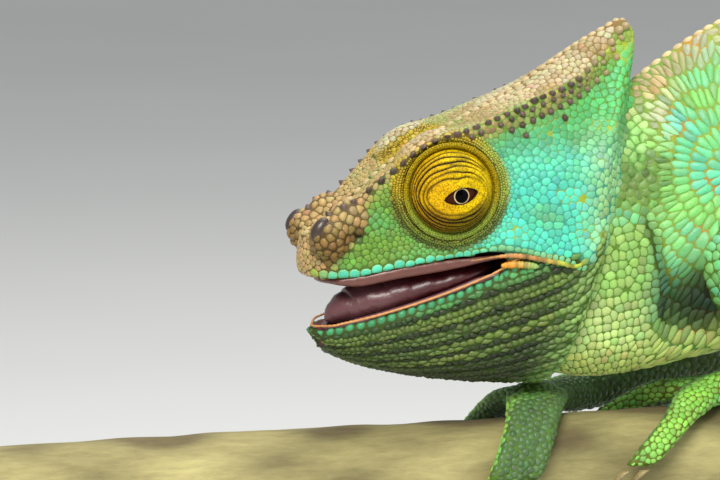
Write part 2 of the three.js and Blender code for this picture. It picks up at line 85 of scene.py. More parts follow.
def unit(v):
    v = np.asarray(v, float)
    return v / np.maximum(np.linalg.norm(v, axis=-1, keepdims=True), 1e-9)


def circle(count):
    """Angles spread evenly round a circle."""
    return np.linspace(0, 2 * np.pi, count, endpoint=False)


def hermite(xs, ys, x):
    """Cubic curve through the values ys at xs, evaluated at x. ys may hold rows of points."""
    slopes = np.gradient(ys, xs, axis=0)
    x = np.clip(x, xs[0], xs[-1])
    i = np.clip(np.searchsorted(xs, x, side="right") - 1, 0, len(xs) - 2)
    h = xs[i + 1] - xs[i]
    t = (x - xs[i]) / h
    if ys.ndim > 1:
        h, t = h[:, None], t[:, None]
    return (
        (1 + 2 * t) * (1 - t) ** 2 * ys[i]
        + t * (1 - t) ** 2 * h * slopes[i]
        + t * t * (3 - 2 * t) * ys[i + 1]
        + t * t * (t - 1) * h * slopes[i + 1]
    )


def profile(*pairs):
    """A smooth function through [x, value] pairs."""
    xs, ys = np.array(pairs, float).T
    return lambda x: hermite(xs, ys, np.asarray(x, float))


def search_tree(points):
    tree = KDTree(len(points))
    for i, p in enumerate(points.tolist()):
        tree.insert(p, i)
    tree.balance()
    return tree


# ---- Profiles of the animal ----
upper_lip = profile((-30.5, -18.4), (-28, -18.9), (-10, -16.6), (2, -14.9), (12, -13.8), (22, -15.6),
                    (31, -16.6), (34, -12), (37.5, -1), (41.5, 13), (44.5, 23.5), (46.5, 29.8))
lip_width = profile((-30.5, 2.6), (-28.5, 5.6), (-24, 8), (-15, 10.8), (0, 13.6), (12, 15.8), (24, 17),
                    (31, 16.8), (34, 15.6), (37.5, 12), (41.5, 6.4), (44.5, 3.2), (46.5, 1.4))
cheek_width = profile((-30.5, 2.9), (-28.5, 6.2), (-24, 8), (-15, 9.6), (0, 12), (12, 15.4), (24, 17.8),
                      (31, 17.2), (34, 16), (37.5, 12.6), (41.5, 7.2), (44.5, 3.6), (46.5, 1.6))
crest_height = profile((-30.5, -8.6), (-28.5, -7.3), (-25, -5.2), (-21, -1.6), (-15, 3.8), (-8, 8.8),
                       (0, 12.6), (5, 14), (11, 16.2), (20, 19.6), (29.5, 23), (36.5, 27.4), (43.7, 33.4),
                       (46.5, 31.6))
crest_width = profile((-30.5, 2.4), (-28.5, 5), (-25, 7), (-21, 8.2), (-15, 10.2), (-8, 12.2), (0, 13.4),
                      (8, 13.6), (20, 12.2), (29.5, 9.4), (36.5, 5.8), (43.7, 2.6), (46.5, 1.4))
crown_height = profile((-30.5, -9.4), (-28.5, -8.6), (-25, -6.8), (-21, -3.6), (-15, 2), (-8, 7.2),
                       (0, 11.6), (8, 15.6), (20, 22), (29.5, 28.2), (38, 33), (43.7, 35), (46.5, 32))
lower_lip = profile((-28.5, -28.9), (-26, -28.2), (-16, -25.6), (-6, -22.6), (4, -18.9), (12, -15.3),
                    (20, -11), (34, -6))
jaw_width = profile((-28.5, 3), (-26.8, 5.2), (-21, 8.2), (-6, 12.2), (12, 15.6), (24, 17), (34, 16.4))
throat_line = profile((-28.5, -31), (-26.8, -33.6), (-22, -36.4), (-12, -39.6), (0, -41.8), (14, -43.2),
                      (38, -43.6))
back_line = profile((20, 6), (34, 12.5), (44, 20.7), (51.5, 26), (60, 31.2), (75, 37.4), (98, 43),
                    (125, 45), (152, 41), (176, 31), (192, 20.5), (TRUNK_END, 15))
belly_line = profile((20, -40), (34, -43.2), (46, -42.6), (58, -40.4), (75, -38.2), (98, -38),
                     (125, -38.5), (152, -35.5), (176, -26), (192, -17), (TRUNK_END, -13.8))
flank_width = profile((20, 12), (34, 14.2), (46, 14.8), (58, 17), (75, 20), (98, 22.4), (125, 23),
                      (152, 21.4), (176, 17.2), (192, 13.2), (TRUNK_END, 11.4))
tail_height = profile((0, 14.4), (0.08, 10.6), (0.2, 8.4), (0.45, 5.6), (0.75, 3), (1, 1.5))
tail_width = profile((0, 11.4), (0.08, 9), (0.2, 7.4), (0.45, 5), (0.75, 2.7), (1, 1.5))

# Digits in the inner and outer bundle, and radii from the root of the limb to its wrist.
FORE = dict(inner=3, outer=2, radii=(12.5, 8.6, 6.4, 5.8, 5.0))
HIND = dict(inner=2, outer=3, radii=(13.0, 9.4, 6.6, 5.8, 5.0))
# grip is where the hand holds the branch, and lean how far it slants along it for each radian round it.
LIMBS = [
    dict(FORE, side=LEFT, grip=66, lean=-18, root=(60, -13, -13), bend=(96, -41, -37), wrist=(76, -12, -42)),
    dict(FORE, side=RIGHT, grip=24, lean=-8, root=(60, 13, -13), bend=(79, 38, -45), wrist=(41, 19, -49.5)),
    dict(HIND, side=LEFT, grip=176, lean=-5,
         root=(182, -7, -5), bend=(156, -38, -24), wrist=(184, -12, -42.5)),
    dict(HIND, side=RIGHT, grip=201, lean=-6.5,
         root=(182, 7, -5), bend=(170, 39, -28), wrist=(209, 12, -42.5)),
]
PALM = dict(reach=0.66, width=8.1, height=2.95, clear=0.45)
DIGIT = dict(start=0.36, to=1.72, base=3.4, tip=2.4, pitch=4.0, spread=0.9, clear=0.8)
SHOULDER = dict(x=57.5, side=10.5, z=-16.0, radii=(13.5, 9.0, 15.0))
CLAW = dict(length=6.4, base=1.4, tip=0.35)


# ---- Surfaces as quad grids ----
def ring_quads(steps, count):
    """Quads between neighbouring rings of a loft."""
    i, j = np.meshgrid(np.arange(steps - 1), np.arange(count), indexing="ij")
    a = i * count + j
    b = i * count + (j + 1) % count
    return np.stack([a, b, b + count, a + count], -1).reshape(-1, 4)


def quad_grid(rings):
    """Points, quads and end triangles of a closed loft, with a centre point at each end."""
    rings = np.asarray(rings, float)
    steps, count = rings.shape[:2]
    points = np.vstack([rings.reshape(-1, 3), rings[0].mean(0), rings[-1].mean(0)])
    k = np.arange(count)
    last = (steps - 1) * count
    front = np.stack([np.full(count, len(points) - 2), (k + 1) % count, k], -1)
    rear = np.stack([np.full(count, len(points) - 1), last + k, last + (k + 1) % count], -1)
    return points, ring_quads(steps, count), np.vstack([front, rear])


def halved(quads):
    return np.vstack([quads[:, [0, 1, 2]], quads[:, [0, 2, 3]]])


def closed_loft(rings):
    """Points and triangles of a closed loft."""
    points, quads, caps = quad_grid(rings)
    return points, np.vstack([halved(quads), caps])


def rounded_half(points, count):
    """A half outline of [y, z] points from the bottom of the midplane to its top, resampled along a curve."""
    points = np.asarray(points, float)
    mirror_low = points[1] * [-1, 1]
    mirror_high = points[-2] * [-1, 1]
    full = np.vstack([mirror_low, points, mirror_high])
    chord = np.concatenate([[0], np.cumsum(np.linalg.norm(np.diff(full, axis=0), axis=1))])
    at = np.linspace(chord[1], chord[-2], count)
    return hermite(chord, full, at)


def mirrored_ring(x, half):
    """A ring at x from a half outline and its mirror image."""
    other = half[1:-1][::-1] * [-1, 1]
    outline = np.vstack([half, other])
    return np.column_stack([np.full(len(outline), x), outline])


def stations(front, rear):
    """Places along the head of the rings of a loft."""
    return np.arange(front, rear + 0.01, STATION)


def head_rings():
    """The head with its casque, without the lower jaw."""
    rings = []
    for x in stations(-30.5, 46.5):
        low, lip, cheek = upper_lip(x), lip_width(x), cheek_width(x)
        crest, top, crown = crest_width(x), crest_height(x), crown_height(x)
        at = partial(mix, low, top)
        half = [
            (0, low), (0.55 * lip, low), (lip - 0.5, low), (lip, at(0.04)), (mix(lip, cheek, 0.6), at(0.14)),
            (cheek, at(0.32)), (cheek, at(0.52)), (mix(cheek, crest, 0.7) - 0.7, at(0.74)),
            (crest - 0.5, at(0.9)), (crest, top), (crest - 1.3, top + 0.25),
            (0.5 * crest, mix(top, crown, 0.68)), (0, crown),
        ]
        rings.append(mirrored_ring(x, rounded_half(half, 60)))
    return rings


def jaw_rings():
    """The lower jaw and throat."""
    rings = []
    for x in stations(-28.5, 34.0):
        top, low, wide = lower_lip(x), throat_line(x), jaw_width(x)
        at = partial(mix, top, low)
        half = [
            (0, low), (0.3 * wide, at(0.985)), (0.58 * wide, at(0.92)), (0.82 * wide, at(0.78)),
            (0.97 * wide, at(0.56)), (1.02 * wide, at(0.3)), (wide, at(0.08)), (wide - 0.7, top),
            (0.5 * wide, top), (0, top),
        ]
        rings.append(mirrored_ring(x, rounded_half(half, 50)))
    return rings


HOLLOW = dict(inset=2, roof=4.2, floor=4.8)  # of the mouth, from its lips


def hollow_rings():
    """The open space of the mouth, narrower at its front and rear ends."""
    rings = []
    turn = circle(48)
    across, over = np.cos(turn), np.sin(turn)
    square = (np.abs(across) ** 3 + np.abs(over) ** 3) ** (-1 / 3)
    for x in stations(-25.7, 15.0):
        end = 0.35 + 0.65 * (15.4 - x) / 5.4 if x > 10 else 1.0
        front = mix(0.6, 1.0, float(smooth(-26.2, -24, x)))
        wide = max(0.5, (min(lip_width(x), jaw_width(x)) - HOLLOW["inset"]) * end * front)
        high = upper_lip(x) + HOLLOW["roof"] * end
        low = min(lower_lip(x), upper_lip(x)) - HOLLOW["floor"] * end
        y = wide * across * square
        z = (high + low) / 2 + (high - low) / 2 * over * square
        rings.append(np.column_stack([np.full(len(turn), x), y, z]))
    return rings


def body_rings():
    """Neck and trunk, with a low keel along the back."""
    rings = []
    rise = np.linspace(-np.pi / 2, np.pi / 2, 50)
    for x in np.arange(20, TRUNK_END + 0.01, 1.2):
        top, low, wide = back_line(x), belly_line(x), flank_width(x)
        keel = min(1.0, (TRUNK_END - x) / 40) * 0.32
        ridge = np.where(np.sin(rise) > 0, 1 + keel, 0.92)
        y = wide * np.maximum(np.cos(rise), 0) ** ridge
        z = mix(low, top, 0.5 * (1 + np.sin(rise)))
        rings.append(mirrored_ring(x, np.column_stack([y, z])))
    return rings


TAIL_STEPS = 320
TAIL_STRAIGHT = 0.24  # share of the tail that hardly bends
TAIL_SAG = 0.0085  # bend of that part, in radians per mm
TAIL_CURL, TAIL_TIGHTENING = 0.0245, 0.085  # bend where the curl starts, and what is added by the tip


def tail_bend(u):
    """Bend of the tail in radians per mm, at a share of its length."""
    if u < TAIL_STRAIGHT:
        return TAIL_SAG * min(1, u * 14)
    return TAIL_CURL + TAIL_TIGHTENING * ((u - TAIL_STRAIGHT) / (1 - TAIL_STRAIGHT)) ** 1.9


def tail_path():
    """Centre points and headings of the tail, which curls forwards under itself in a tightening spiral."""
    at, heading = np.array([TRUNK_END - 2.0, 0.0, 0.6]), 0.0
    step = TAIL_LENGTH / TAIL_STEPS
    points, ways = [], []
    for i in range(TAIL_STEPS + 1):
        points.append(at.copy())
        ways.append((math.cos(heading), 0.0, -math.sin(heading)))
        heading += tail_bend(i / TAIL_STEPS) * step
        at = at + step * np.array([math.cos(heading), 0.0, -math.sin(heading)])
    return np.array(points), np.array(ways)


def tube_rings(points, ways, hint, wide, high, count):
    """Rings of an oval tube. hint is roughly its side direction; wide and high are its half sizes."""
    ways = unit(ways)
    hint = np.broadcast_to(np.asarray(hint, float), ways.shape)
    side = unit(hint - ways * (hint * ways).sum(-1, keepdims=True))
    up = np.cross(ways, side)
    turn = circle(count)
    wide = np.broadcast_to(wide, len(points))
    high = np.broadcast_to(high, len(points))
    return (
        points[:, None]
        + side[:, None] * (wide[:, None] * np.cos(turn))[..., None]
        + up[:, None] * (high[:, None] * np.sin(turn))[..., None]
    )


def limb_tube(start, end, pairs, count=28):
    """A straight tapered length with rounded ends, from [share, radius] pairs."""
    start, end = np.array(start, float), np.array(end, float)
    shares, radii = np.array(pairs, float).T
    u = np.linspace(0, 1, 24)
    points = start + (end - start) * u[:, None]
    ways = np.broadcast_to(end - start, points.shape)
    radius = hermite(shares, radii, u)
    return tube_rings(points, ways, (0.2, 0.05, 1), radius, radius, count)


def ball_rings(centre, radii, turn=0.0, steps=18, count=28):
    """Rings of an ellipsoid, turned by an angle about the y axis."""
    polar = np.linspace(0.02, np.pi - 0.02, steps)
    around = circle(count)
    shape = np.stack([
        np.broadcast_to(np.cos(polar)[:, None], (steps, count)),
        np.sin(polar)[:, None] * np.cos(around),
        np.sin(polar)[:, None] * np.sin(around),
    ], -1) * np.array(radii)
    c, s = math.cos(turn), math.sin(turn)
    x, y, z = shape[..., 0], shape[..., 1], shape[..., 2]
    return np.stack([c * x + s * z, y, -s * x + c * z], -1) + np.array(centre, float)


def bark_point(limb, side, angle, across, out):
    """A point off the bark by out. angle runs from the top of the branch down one side."""
    radius = BRANCH_RADIUS + out
    x = limb["grip"] + limb["lean"] * np.abs(angle) + across
    y = side * radius * np.sin(angle)
    z = BRANCH_Z + radius * np.cos(angle)
    return np.stack(np.broadcast_arrays(x, y, z), -1)


palm_fullness = profile((-1, 0.66), (-0.5, 0.95), (0, 1), (0.5, 0.95), (1, 0.66))


def palm_rings(limb):
    """The palm or sole, bent over the top of the branch."""
    turn = circle(28)
    shares = np.linspace(-1, 1, 21)
    rings = []
    for u, full in zip(shares, palm_fullness(shares)):
        across = PALM["width"] * full * np.cos(turn)
        out = PALM["clear"] + PALM["height"] * (1 + full * np.sin(turn))
        rings.append(bark_point(limb, 1, u * PALM["reach"], across, out))
    return rings


def digit_line(limb, i, count):
    """How far across the branch digit i of a bundle lies at an angle, and how far round it ends."""
    place = i - (count - 1) / 2
    to = DIGIT["to"] - 0.09 * abs(place) - 0.012 * abs(limb["lean"])
    return (lambda angle: place * (DIGIT["pitch"] + DIGIT["spread"] * (angle - 1))), to


def bundles(limb):
    """The two opposed bundles of digits: how many digits each has, and on which side of the branch."""
    return (limb["inner"], -limb["side"]), (limb["outer"], limb["side"])


def digit_rings(limb, i, count, side):
    """Digit i of a bundle, which reaches round the branch on one side."""
    across_at, to = digit_line(limb, i, count)
    turn = circle(20)
    rings = []
    for u in np.linspace(0, 1, 26):
        angle = mix(DIGIT["start"], to, u)
        rounding = math.sqrt(max(0.0, 1 - max(0.0, (u - 0.93) / 0.075) ** 2))
        thick = mix(DIGIT["base"], DIGIT["tip"], u) * max(0.3, rounding)
        centre = DIGIT["clear"] + 0.85 * mix(DIGIT["base"], DIGIT["tip"], u)
        across = across_at(angle) + 0.98 * thick * np.cos(turn)
        rings.append(bark_point(limb, side, angle, across, centre + 0.92 * thick * np.sin(turn)))
    return rings


def eye_axes(side):
    """The frame of an eye: its centre, and axes along the head, up, and out along the line of sight."""
    out = unit([-EYE_LEAN, side, 0.02])
    up = unit(np.array([0, 0, 1]) - out * out[2])
    return np.array([-EYE_AHEAD, side * EYE_SIDE, 0.0]), np.cross(up, out), up, out


def rearward(along):
    """The axis along the head, turned to point towards the tail."""
    return -along if along[0] < 0 else along


def turned_rings(side, outline, count=72):
    """Rings of a body turned about the sight line, from [radius, height along that line] pairs."""
    centre, along, up, out = eye_axes(side)
    turn = circle(count)
    spoke = along * np.cos(turn)[:, None] + up * np.sin(turn)[:, None]
    return np.array([centre + out * h + spoke * max(r, 1e-3) for r, h in outline])


def eye_ring_outline():
    """Section of the raised ring of skin that the eyelid cone turns in, rounded."""
    pairs = np.array([(0, -6), (13.4, -6), (13.2, -3), (12.7, -0.4), (11.8, 1.7), (10.6, 3.1), (9.7, 3.5),
                      (9.0, 3.1), (8.6, 1), (8.2, -2), (0, -2)], float)
    chord = np.concatenate([[0], np.cumsum(np.linalg.norm(np.diff(pairs, axis=0), axis=1))])
    inner = hermite(chord[1:-1], pairs[1:-1], np.linspace(chord[1], chord[-2], 40))
    return np.vstack([pairs[:1], inner, pairs[-1:]])


def socket_outline():
    """Section of the hole for the eye: a bowl under the ball, and straight walls round the cone."""
    low, rim, top = BALL_RADIUS + 0.3, -1.3, 9
    angles = np.linspace(-np.pi / 2, math.asin(rim / low), 12)
    bowl = [(low * math.cos(a), low * math.sin(a)) for a in angles]
    return np.array(bowl + [(SOCKET_RADIUS, rim), (SOCKET_RADIUS, top), (0, top)])


# ---- Level sets ----
CORNER = np.floor(GRID_LOW / VOXEL).astype(int)
SHAPE = np.ceil((GRID_HIGH - GRID_LOW) / VOXEL).astype(int)


def field(rings):
    """The signed distance to a closed loft on the dense grid, in mm, negative inside."""
    points, quads, triangles = quad_grid(rings)
    grid = vdb.FloatGrid.createLevelSetFromPolygons(
        points, triangles=triangles.astype(np.uint32), quads=quads.astype(np.uint32),
        transform=vdb.createLinearTransform(VOXEL), halfWidth=float(BAND))
    dense = np.empty(SHAPE, np.float32)
    grid.copyToArray(dense, ijk=tuple(int(c) for c in CORNER))
    return dense


def join(a, b, k):
    """Smooth union of two fields, with a fillet about k wide."""
    h = np.maximum(k - np.abs(a - b), 0) / k
    return np.minimum(a, b) - h * h * k / 4


def grid_axes():
    return [(CORNER[i] + np.arange(SHAPE[i])) * VOXEL for i in range(3)]


def behind_head():
    """Distance behind the plane at the back of cheek and casque."""
    (x0, z0), (x1, z1) = HEAD_REAR
    along = unit([x1 - x0, z1 - z0])
    normal = (along[1], -along[0])
    x, _, z = grid_axes()
    return ((x[:, None, None] - x0) * normal[0] + (z[None, None, :] - z0) * normal[1]).astype(np.float32)


FILLET = dict(  # widths of the fillets between parts
    ring=1.2, lobe=1.2, process=0.3, jaw=0.9, shoulder=4.0, tail=2.0, neck=1.8,
    limb=4.0, knee=1.5, heel=3.0, digit=1.2, hand=1.6)


def arm_field(limb):
    """Upper and lower arm or leg, with a ball at the bend."""
    r0, r1, r2, r3, r4 = limb["radii"]
    upper_radii = [(0, 0.62 * r0), (0.1, 0.92 * r0), (0.24, r0), (0.6, r1), (1, r2)]
    upper = limb_tube(limb["root"], limb["bend"], upper_radii)
    lower = limb_tube(limb["bend"], limb["wrist"], [(0, r2), (0.5, r3), (1, r4)])
    knee = ball_rings(limb["bend"], (r2, r2, r2))
    return join(join(field(upper), field(knee), FILLET["knee"]), field(lower), FILLET["limb"])


def hand_field(limb):
    """Heel, palm and both bundles of digits of a hand or foot."""
    palm_at = (limb["grip"] + 0.1 * limb["lean"], limb["side"] * 1.3, GRIP_TOP + 3.3)
    heel = field(limb_tube(limb["wrist"], palm_at, [(0, limb["radii"][-1]), (1, 3.2)]))
    hand = join(heel, field(palm_rings(limb)), FILLET["heel"])
    for count, toward in bundles(limb):
        digits = [field(digit_rings(limb, i, count, toward)) for i in range(count)]
        bundle = reduce(lambda a, b: join(a, b, FILLET["digit"]), digits)
        hand = join(hand, bundle, FILLET["hand"])
    return hand


def limb_fields():
    """Fields of all arms, of all hands, and of the limbs of each side."""
    arms = [arm_field(limb) for limb in LIMBS]
    hands = [hand_field(limb) for limb in LIMBS]
    sides = {LEFT: [], RIGHT: []}
    for limb, arm, hand in zip(LIMBS, arms, hands):
        sides[limb["side"]] += [arm, hand]
    return tuple(reduce(np.minimum, fields) for fields in (arms, hands, sides[LEFT], sides[RIGHT]))


def process_rings(side):
    """The two balls of a rostral process: its lobe and its root."""
    return (
        ball_rings((-26, side * 7.4, -9.5), (4.7, 4.5, 5), 0.35),
        ball_rings((-21.5, side * 7.2, -5.6), (5, 2.8, 4), 0.75),
    )


def animal_fields():
    """Fields of the parts of the body, by name, before they are joined."""
    plane = behind_head()
    parts = {}
    parts["head"] = np.maximum(field(head_rings()), plane)
    parts["jaw"] = np.maximum(field(jaw_rings()), plane + 0.4)
    x, side, z = SHOULDER["x"], SHOULDER["side"], SHOULDER["z"]
    shoulders = [field(ball_rings((x, s * side, z), SHOULDER["radii"])) for s in (LEFT, RIGHT)]
    parts["body"] = join(field(body_rings()), np.minimum(*shoulders), FILLET["shoulder"])
    path, ways = tail_path()
    u = np.linspace(0, 1, len(path))
    parts["tail"] = field(tube_rings(path, ways, (0, 1, 0), tail_width(u), tail_height(u), 32))
    parts["arm"], parts["hand"], parts["left"], parts["right"] = limb_fields()
    lobes = [join(field(a), field(b), FILLET["lobe"]) for a, b in map(process_rings, (LEFT, RIGHT))]
    parts["process"] = np.minimum(*lobes)
    parts["ring"] = np.minimum(*(field(turned_rings(s, eye_ring_outline())) for s in (LEFT, RIGHT)))
    parts["mouth"] = field(hollow_rings())
    parts["socket"] = np.minimum(*(field(turned_rings(s, socket_outline())) for s in (LEFT, RIGHT)))
    return parts


def joined_field(parts):
    """The whole animal: its parts joined with fillets, less the hollow of the mouth and the eye sockets."""
    head = parts["head"]
    for name in ("ring", "process", "jaw"):
        head = join(head, parts[name], FILLET[name])
    head = np.maximum(head, -parts["mouth"])
    whole = join(head, join(parts["body"], parts["tail"], FILLET["tail"]), FILLET["neck"])
    whole = join(whole, parts["arm"], FILLET["limb"])
    whole = np.minimum(whole, join(parts["arm"], parts["hand"], FILLET["hand"]))
    return np.maximum(whole, -parts["socket"])


def softened(values):
    """A small blur, which takes the hardest creases off."""
    for axis in range(3):
        ahead = np.roll(values, -1, axis)
        behind = np.roll(values, 1, axis)
        values = 0.5 * values + 0.25 * (ahead + behind)
    return values


def surface_of(values):
    """Points and quads of the surface where a dense field is 0."""
    grid = vdb.FloatGrid(background=float(BAND * VOXEL))
    grid.transform = vdb.createLinearTransform(VOXEL)
    grid.copyFromArray(np.ascontiguousarray(values, np.float32), ijk=tuple(int(c) for c in CORNER))
    grid.gridClass = vdb.GridClass.LEVEL_SET
    points, _, quads = grid.convertToPolygons(isovalue=0.0, adaptivity=0.0)
    return np.array(points, float), np.array(quads, int)[:, ::-1]


# ---- Where a point on the skin belongs ----
REGIONS = ("head", "jaw", "body", "tail", "arm", "hand", "process", "ring", "mouth", "socket")
HEAD, JAW, BODY, TAIL, ARM, HAND, PROCESS, RING, MOUTH, SOCKET = range(len(REGIONS))


def sampled(values, points):
    """A dense field at points, with linear interpolation."""
    at = points / VOXEL - CORNER
    low = np.clip(np.floor(at).astype(int), 0, SHAPE - 2)
    f = np.clip(at - low, 0, 1)
    total = np.zeros(len(points))
    for corner in np.ndindex(2, 2, 2):
        i = low + corner
        weight = np.prod(np.where(corner, f, 1 - f), axis=1)
        total += weight * values[i[:, 0], i[:, 1], i[:, 2]]
    return total


def regions_at(parts, points):
    """The region of each point: that of the nearest part, or the mouth or a socket where one is cut."""
    outer = REGIONS[:MOUTH]
    distance = np.stack([sampled(parts[name], points) for name in outer], -1)
    distance[:, RING] += np.where(below_crest(points) > 0.4, -0.35, 9.0)
    distance[:, PROCESS] -= 0.5
    region = distance.argmin(-1)
    x, y, z = points.T
    lip = np.where(z < (upper_lip(x) + lower_lip(x)) / 2, jaw_width(x), lip_width(x))
    inner = (lip - np.abs(y) > 1.0) & (x > -25.5)
    region = np.where(inner & (sampled(parts["mouth"], points) < 0.95), MOUTH, region)
    return np.where(sampled(parts["socket"], points) < 0.3, SOCKET, region)


def limb_side(parts, points):
    """Which side's limb is nearest to each point."""
    return np.where(sampled(parts["left"], points) < sampled(parts["right"], points), LEFT, RIGHT)


# ---- Fields that steer the scales ----
WAVE_COUNT = 7


def waves(points, size, seed):
    """Smooth three-dimensional noise between about -1 and 1, with features about size mm across."""
    rng = np.random.default_rng(seed)
    total = np.zeros(len(points))
    for _ in range(WAVE_COUNT):
        way = unit(rng.normal(size=3)) * rng.uniform(0.6, 1.5) * 2 * np.pi / (2 * size)
        total += np.sin(points @ way + rng.uniform(0, 6.28))
    return total / 3.2


def eye_offset(points):
    """Distance from the sight line of the nearer eye, and the offsets along the head and up from it."""
    side = np.where(points[:, 1] < 0, LEFT, RIGHT)
    result = np.zeros((3, len(points)))
    for s in (LEFT, RIGHT):
        centre, along, up, _ = eye_axes(s)
        mine = side == s
        d = points[mine] - centre
        result[1, mine] = d @ rearward(along)
        result[2, mine] = d @ up
    result[0] = np.hypot(result[1], result[2])
    return result


def below_crest(points):
    """How far a point lies below the lateral crest of the head, in mm."""
    return crest_height(points[:, 0]) - points[:, 2]


throat_sweep = profile((8, 0), (14, -1.2), (20, -2.2), (26, -1.8), (32, 1.5), (38, 7))


def throat_depth(points):
    """Distance from the lip down the side of the jaw and in under the throat. Its levels sweep up behind."""
    x, y, z = points.T
    sweep = throat_sweep(x) * smooth(-44, -20, z)
    return lower_lip(x) + sweep - z + 0.9 * np.maximum(0, jaw_width(x) - np.abs(y))


def behind_cheek(points):
    """Distance along the neck behind the rear edge of cheek and casque."""
    (x0, z0), (x1, z1) = HEAD_REAR
    return points[:, 0] - x0 - (x1 - x0) / (z1 - z0) * (points[:, 2] - z0)


TAIL_POINTS, TAIL_WAYS = tail_path()
TAIL_TREE = search_tree(TAIL_POINTS)


def tail_share(points):
    """Share of the tail's length at each point."""
    nearest = np.array([TAIL_TREE.find(p)[1] for p in points], int)
    along = ((points - TAIL_POINTS[nearest]) * TAIL_WAYS[nearest]).sum(-1)
    return nearest / TAIL_STEPS + along / TAIL_LENGTH


def tail_shares(points, region):
    """Share of the tail's length at the points on the tail, and 0 elsewhere."""
    share = np.zeros(len(points))
    on_tail = region == TAIL
    share[on_tail] = tail_share(points[on_tail])
    return share


def jaw_rows(points):
    """Rows along the jaw, which sweep up behind."""
    return throat_depth(points) / mix(1.05, 1.4, smooth(-26, 20, points[:, 0])) - 0.75


def body_rows(points):
    """Rows down the flanks and along the collar under the throat. Also the weight with which they hold."""
    x, _, z = points.T
    chevron = 0.9 * mix(1.0, 0.25, smooth(62, 95, x)) * (z - 2)
    flank = (np.maximum(x - 62, 0) - np.hypot(np.minimum(x - 62, 0), chevron)) / 3.7
    collar = (z - 0.15 * x) / 1.9
    gular = smooth(-8, -12, z) * smooth(48, 45, x) > 0.5
    return np.where(gular, collar, flank), 0.8 * np.where(gular, 1.0, smooth(44, 50, x))


def row_phase(points, region, share):
    """Rows of scales run along whole numbers of this phase. Also the weight with which rows hold."""
    phase = np.zeros(len(points))
    weight = np.zeros(len(points))
    jaw, ring, body, tail = (region == code for code in (JAW, RING, BODY, TAIL))
    phase[jaw], weight[jaw] = jaw_rows(points)[jaw], 1.0
    phase[ring], weight[ring] = eye_offset(points)[0][ring] / 0.6, 0.9
    body_phase, body_weight = body_rows(points)
    phase[body], weight[body] = body_phase[body], body_weight[body]
    phase[tail], weight[tail] = (share * TAIL_LENGTH / 2.3)[tail], 0.8
    return phase, weight


PLAIN_SPACING = {ARM: 1.9, HAND: 1.4, PROCESS: 1.65, RING: 0.55, MOUTH: 1.0, SOCKET: 1.0}


def spacing(points, region, share):
    """Distance between neighbouring scales, in mm."""
    x = points[:, 0]
    from_eye = eye_offset(points)[0]
    cheek = smooth(7, 12, x) * smooth(2, 6, below_crest(points))
    head = mix(1.15, 1.52, cheek)
    head = mix(head, 0.85, smooth(15.5, 13.2, from_eye) * smooth(11.5, 12.5, from_eye))
    head = np.where(below_crest(points) < -0.4, 1.45, head)
    by_region = {
        HEAD: head,
        JAW: mix(1.0, 1.4, smooth(-26, 10, x)),
        BODY: mix(1.8, 2.45, smooth(42, 56, x)),
        TAIL: mix(2.2, 0.95, np.sqrt(np.clip(share, 0, 1))),
    }
    result = np.zeros(len(x))
    for code, value in {**by_region, **PLAIN_SPACING}.items():
        result = np.where(region == code, value, result)
    return result


SHAPES = {  # dome height and widest reach as shares of the spacing, and the gap at the rim in mm
    HEAD: (0.15, 0.85, 0.0), JAW: (0.33, 0.95, 0.0), BODY: (0.14, 0.9, 0.02), TAIL: (0.16, 0.8, 0.03),
    ARM: (0.18, 0.8, 0.02), HAND: (0.2, 0.8, 0.02), PROCESS: (0.3, 0.75, 0.02), RING: (0.34, 0.7, 0.02),
}


# ---- Folds of the skin ----
ROPE_ROWS = 3  # rows of jaw scales from one groove to the next


def neck_folds(points):
    """Pleats of the neck, the hollow under the shoulder and the deep crease behind the cheek."""
    x, y, z = points.T
    side, behind = np.abs(y), behind_cheek(points)
    pleat = np.maximum(0, np.cos(2 * np.pi * (behind - 0.8 * np.sin(z / 5.0)) / 2.5)) ** 3
    pleat *= smooth(0.4, 1.6, behind) * smooth(15, 9, behind) * smooth(-10, -3, z) * smooth(2, 7, side)
    hollow = np.exp(-((((x - 56) / 11.0) ** 2 + ((z + 25.5) / 8.5) ** 2) ** 1.8)) * smooth(6, 11, side)
    crease = np.exp(-(((x - 44.4 - 0.26 * (-12 - z)) / 1.0) ** 2)) * smooth(-35, -31, z) * smooth(-5, -10, z)
    return pleat, hollow, crease * smooth(6, 10, side)


def fold_shapes(points, region):
    """Folds of the skin by name, each as a strength from 0 to 1 at each point."""
    x, _, z = points.T
    from_eye, _, above_eye = eye_offset(points)
    head, jaw, body = (region == code for code in (HEAD, JAW, BODY))
    pleat, hollow, crease = neck_folds(points)
    phase, _ = row_phase(points, region, np.zeros(len(points)))
    rope = np.maximum(0, np.cos(2 * np.pi * phase / ROPE_ROWS)) * smooth(2.0, 4.5, throat_depth(points))
    under_eye = np.exp(-(((from_eye - 12.2) / 0.7) ** 2)) * smooth(2, -5, above_eye)
    seam = np.exp(-(((z - upper_lip(x) + 1.25) / 0.5) ** 2)) * smooth(12, 14, x) * smooth(30, 27, x)
    nostril = np.exp(-((((x + 19.9) / 1.35) ** 2 + ((z + 9.5) / 1.0) ** 2) ** 1.5))
    return {
        "pleat": pleat * body,
        "hollow": hollow * body,
        "crease": crease * body,
        "rope": rope * jaw,
        "under_eye": under_eye * (head | (region == RING)),
        "seam": seam * (head | jaw),
        "nostril": nostril * (head | (region == PROCESS)),
    }


FOLD_DEPTHS = dict(  # in mm
    pleat=0.6, hollow=2.4, crease=1.1, rope=0.45, under_eye=0.5, seam=0.5, nostril=1.0)
FOLD_SHADES = dict(  # share of the light that a fold takes away
    pleat=0.45, hollow=0.93, crease=0.75, rope=0.45, under_eye=0.7, seam=0.85, nostril=0.92)


def fold_depth(points, region):
    return sum(FOLD_DEPTHS[name] * shape for name, shape in fold_shapes(points, region).items())


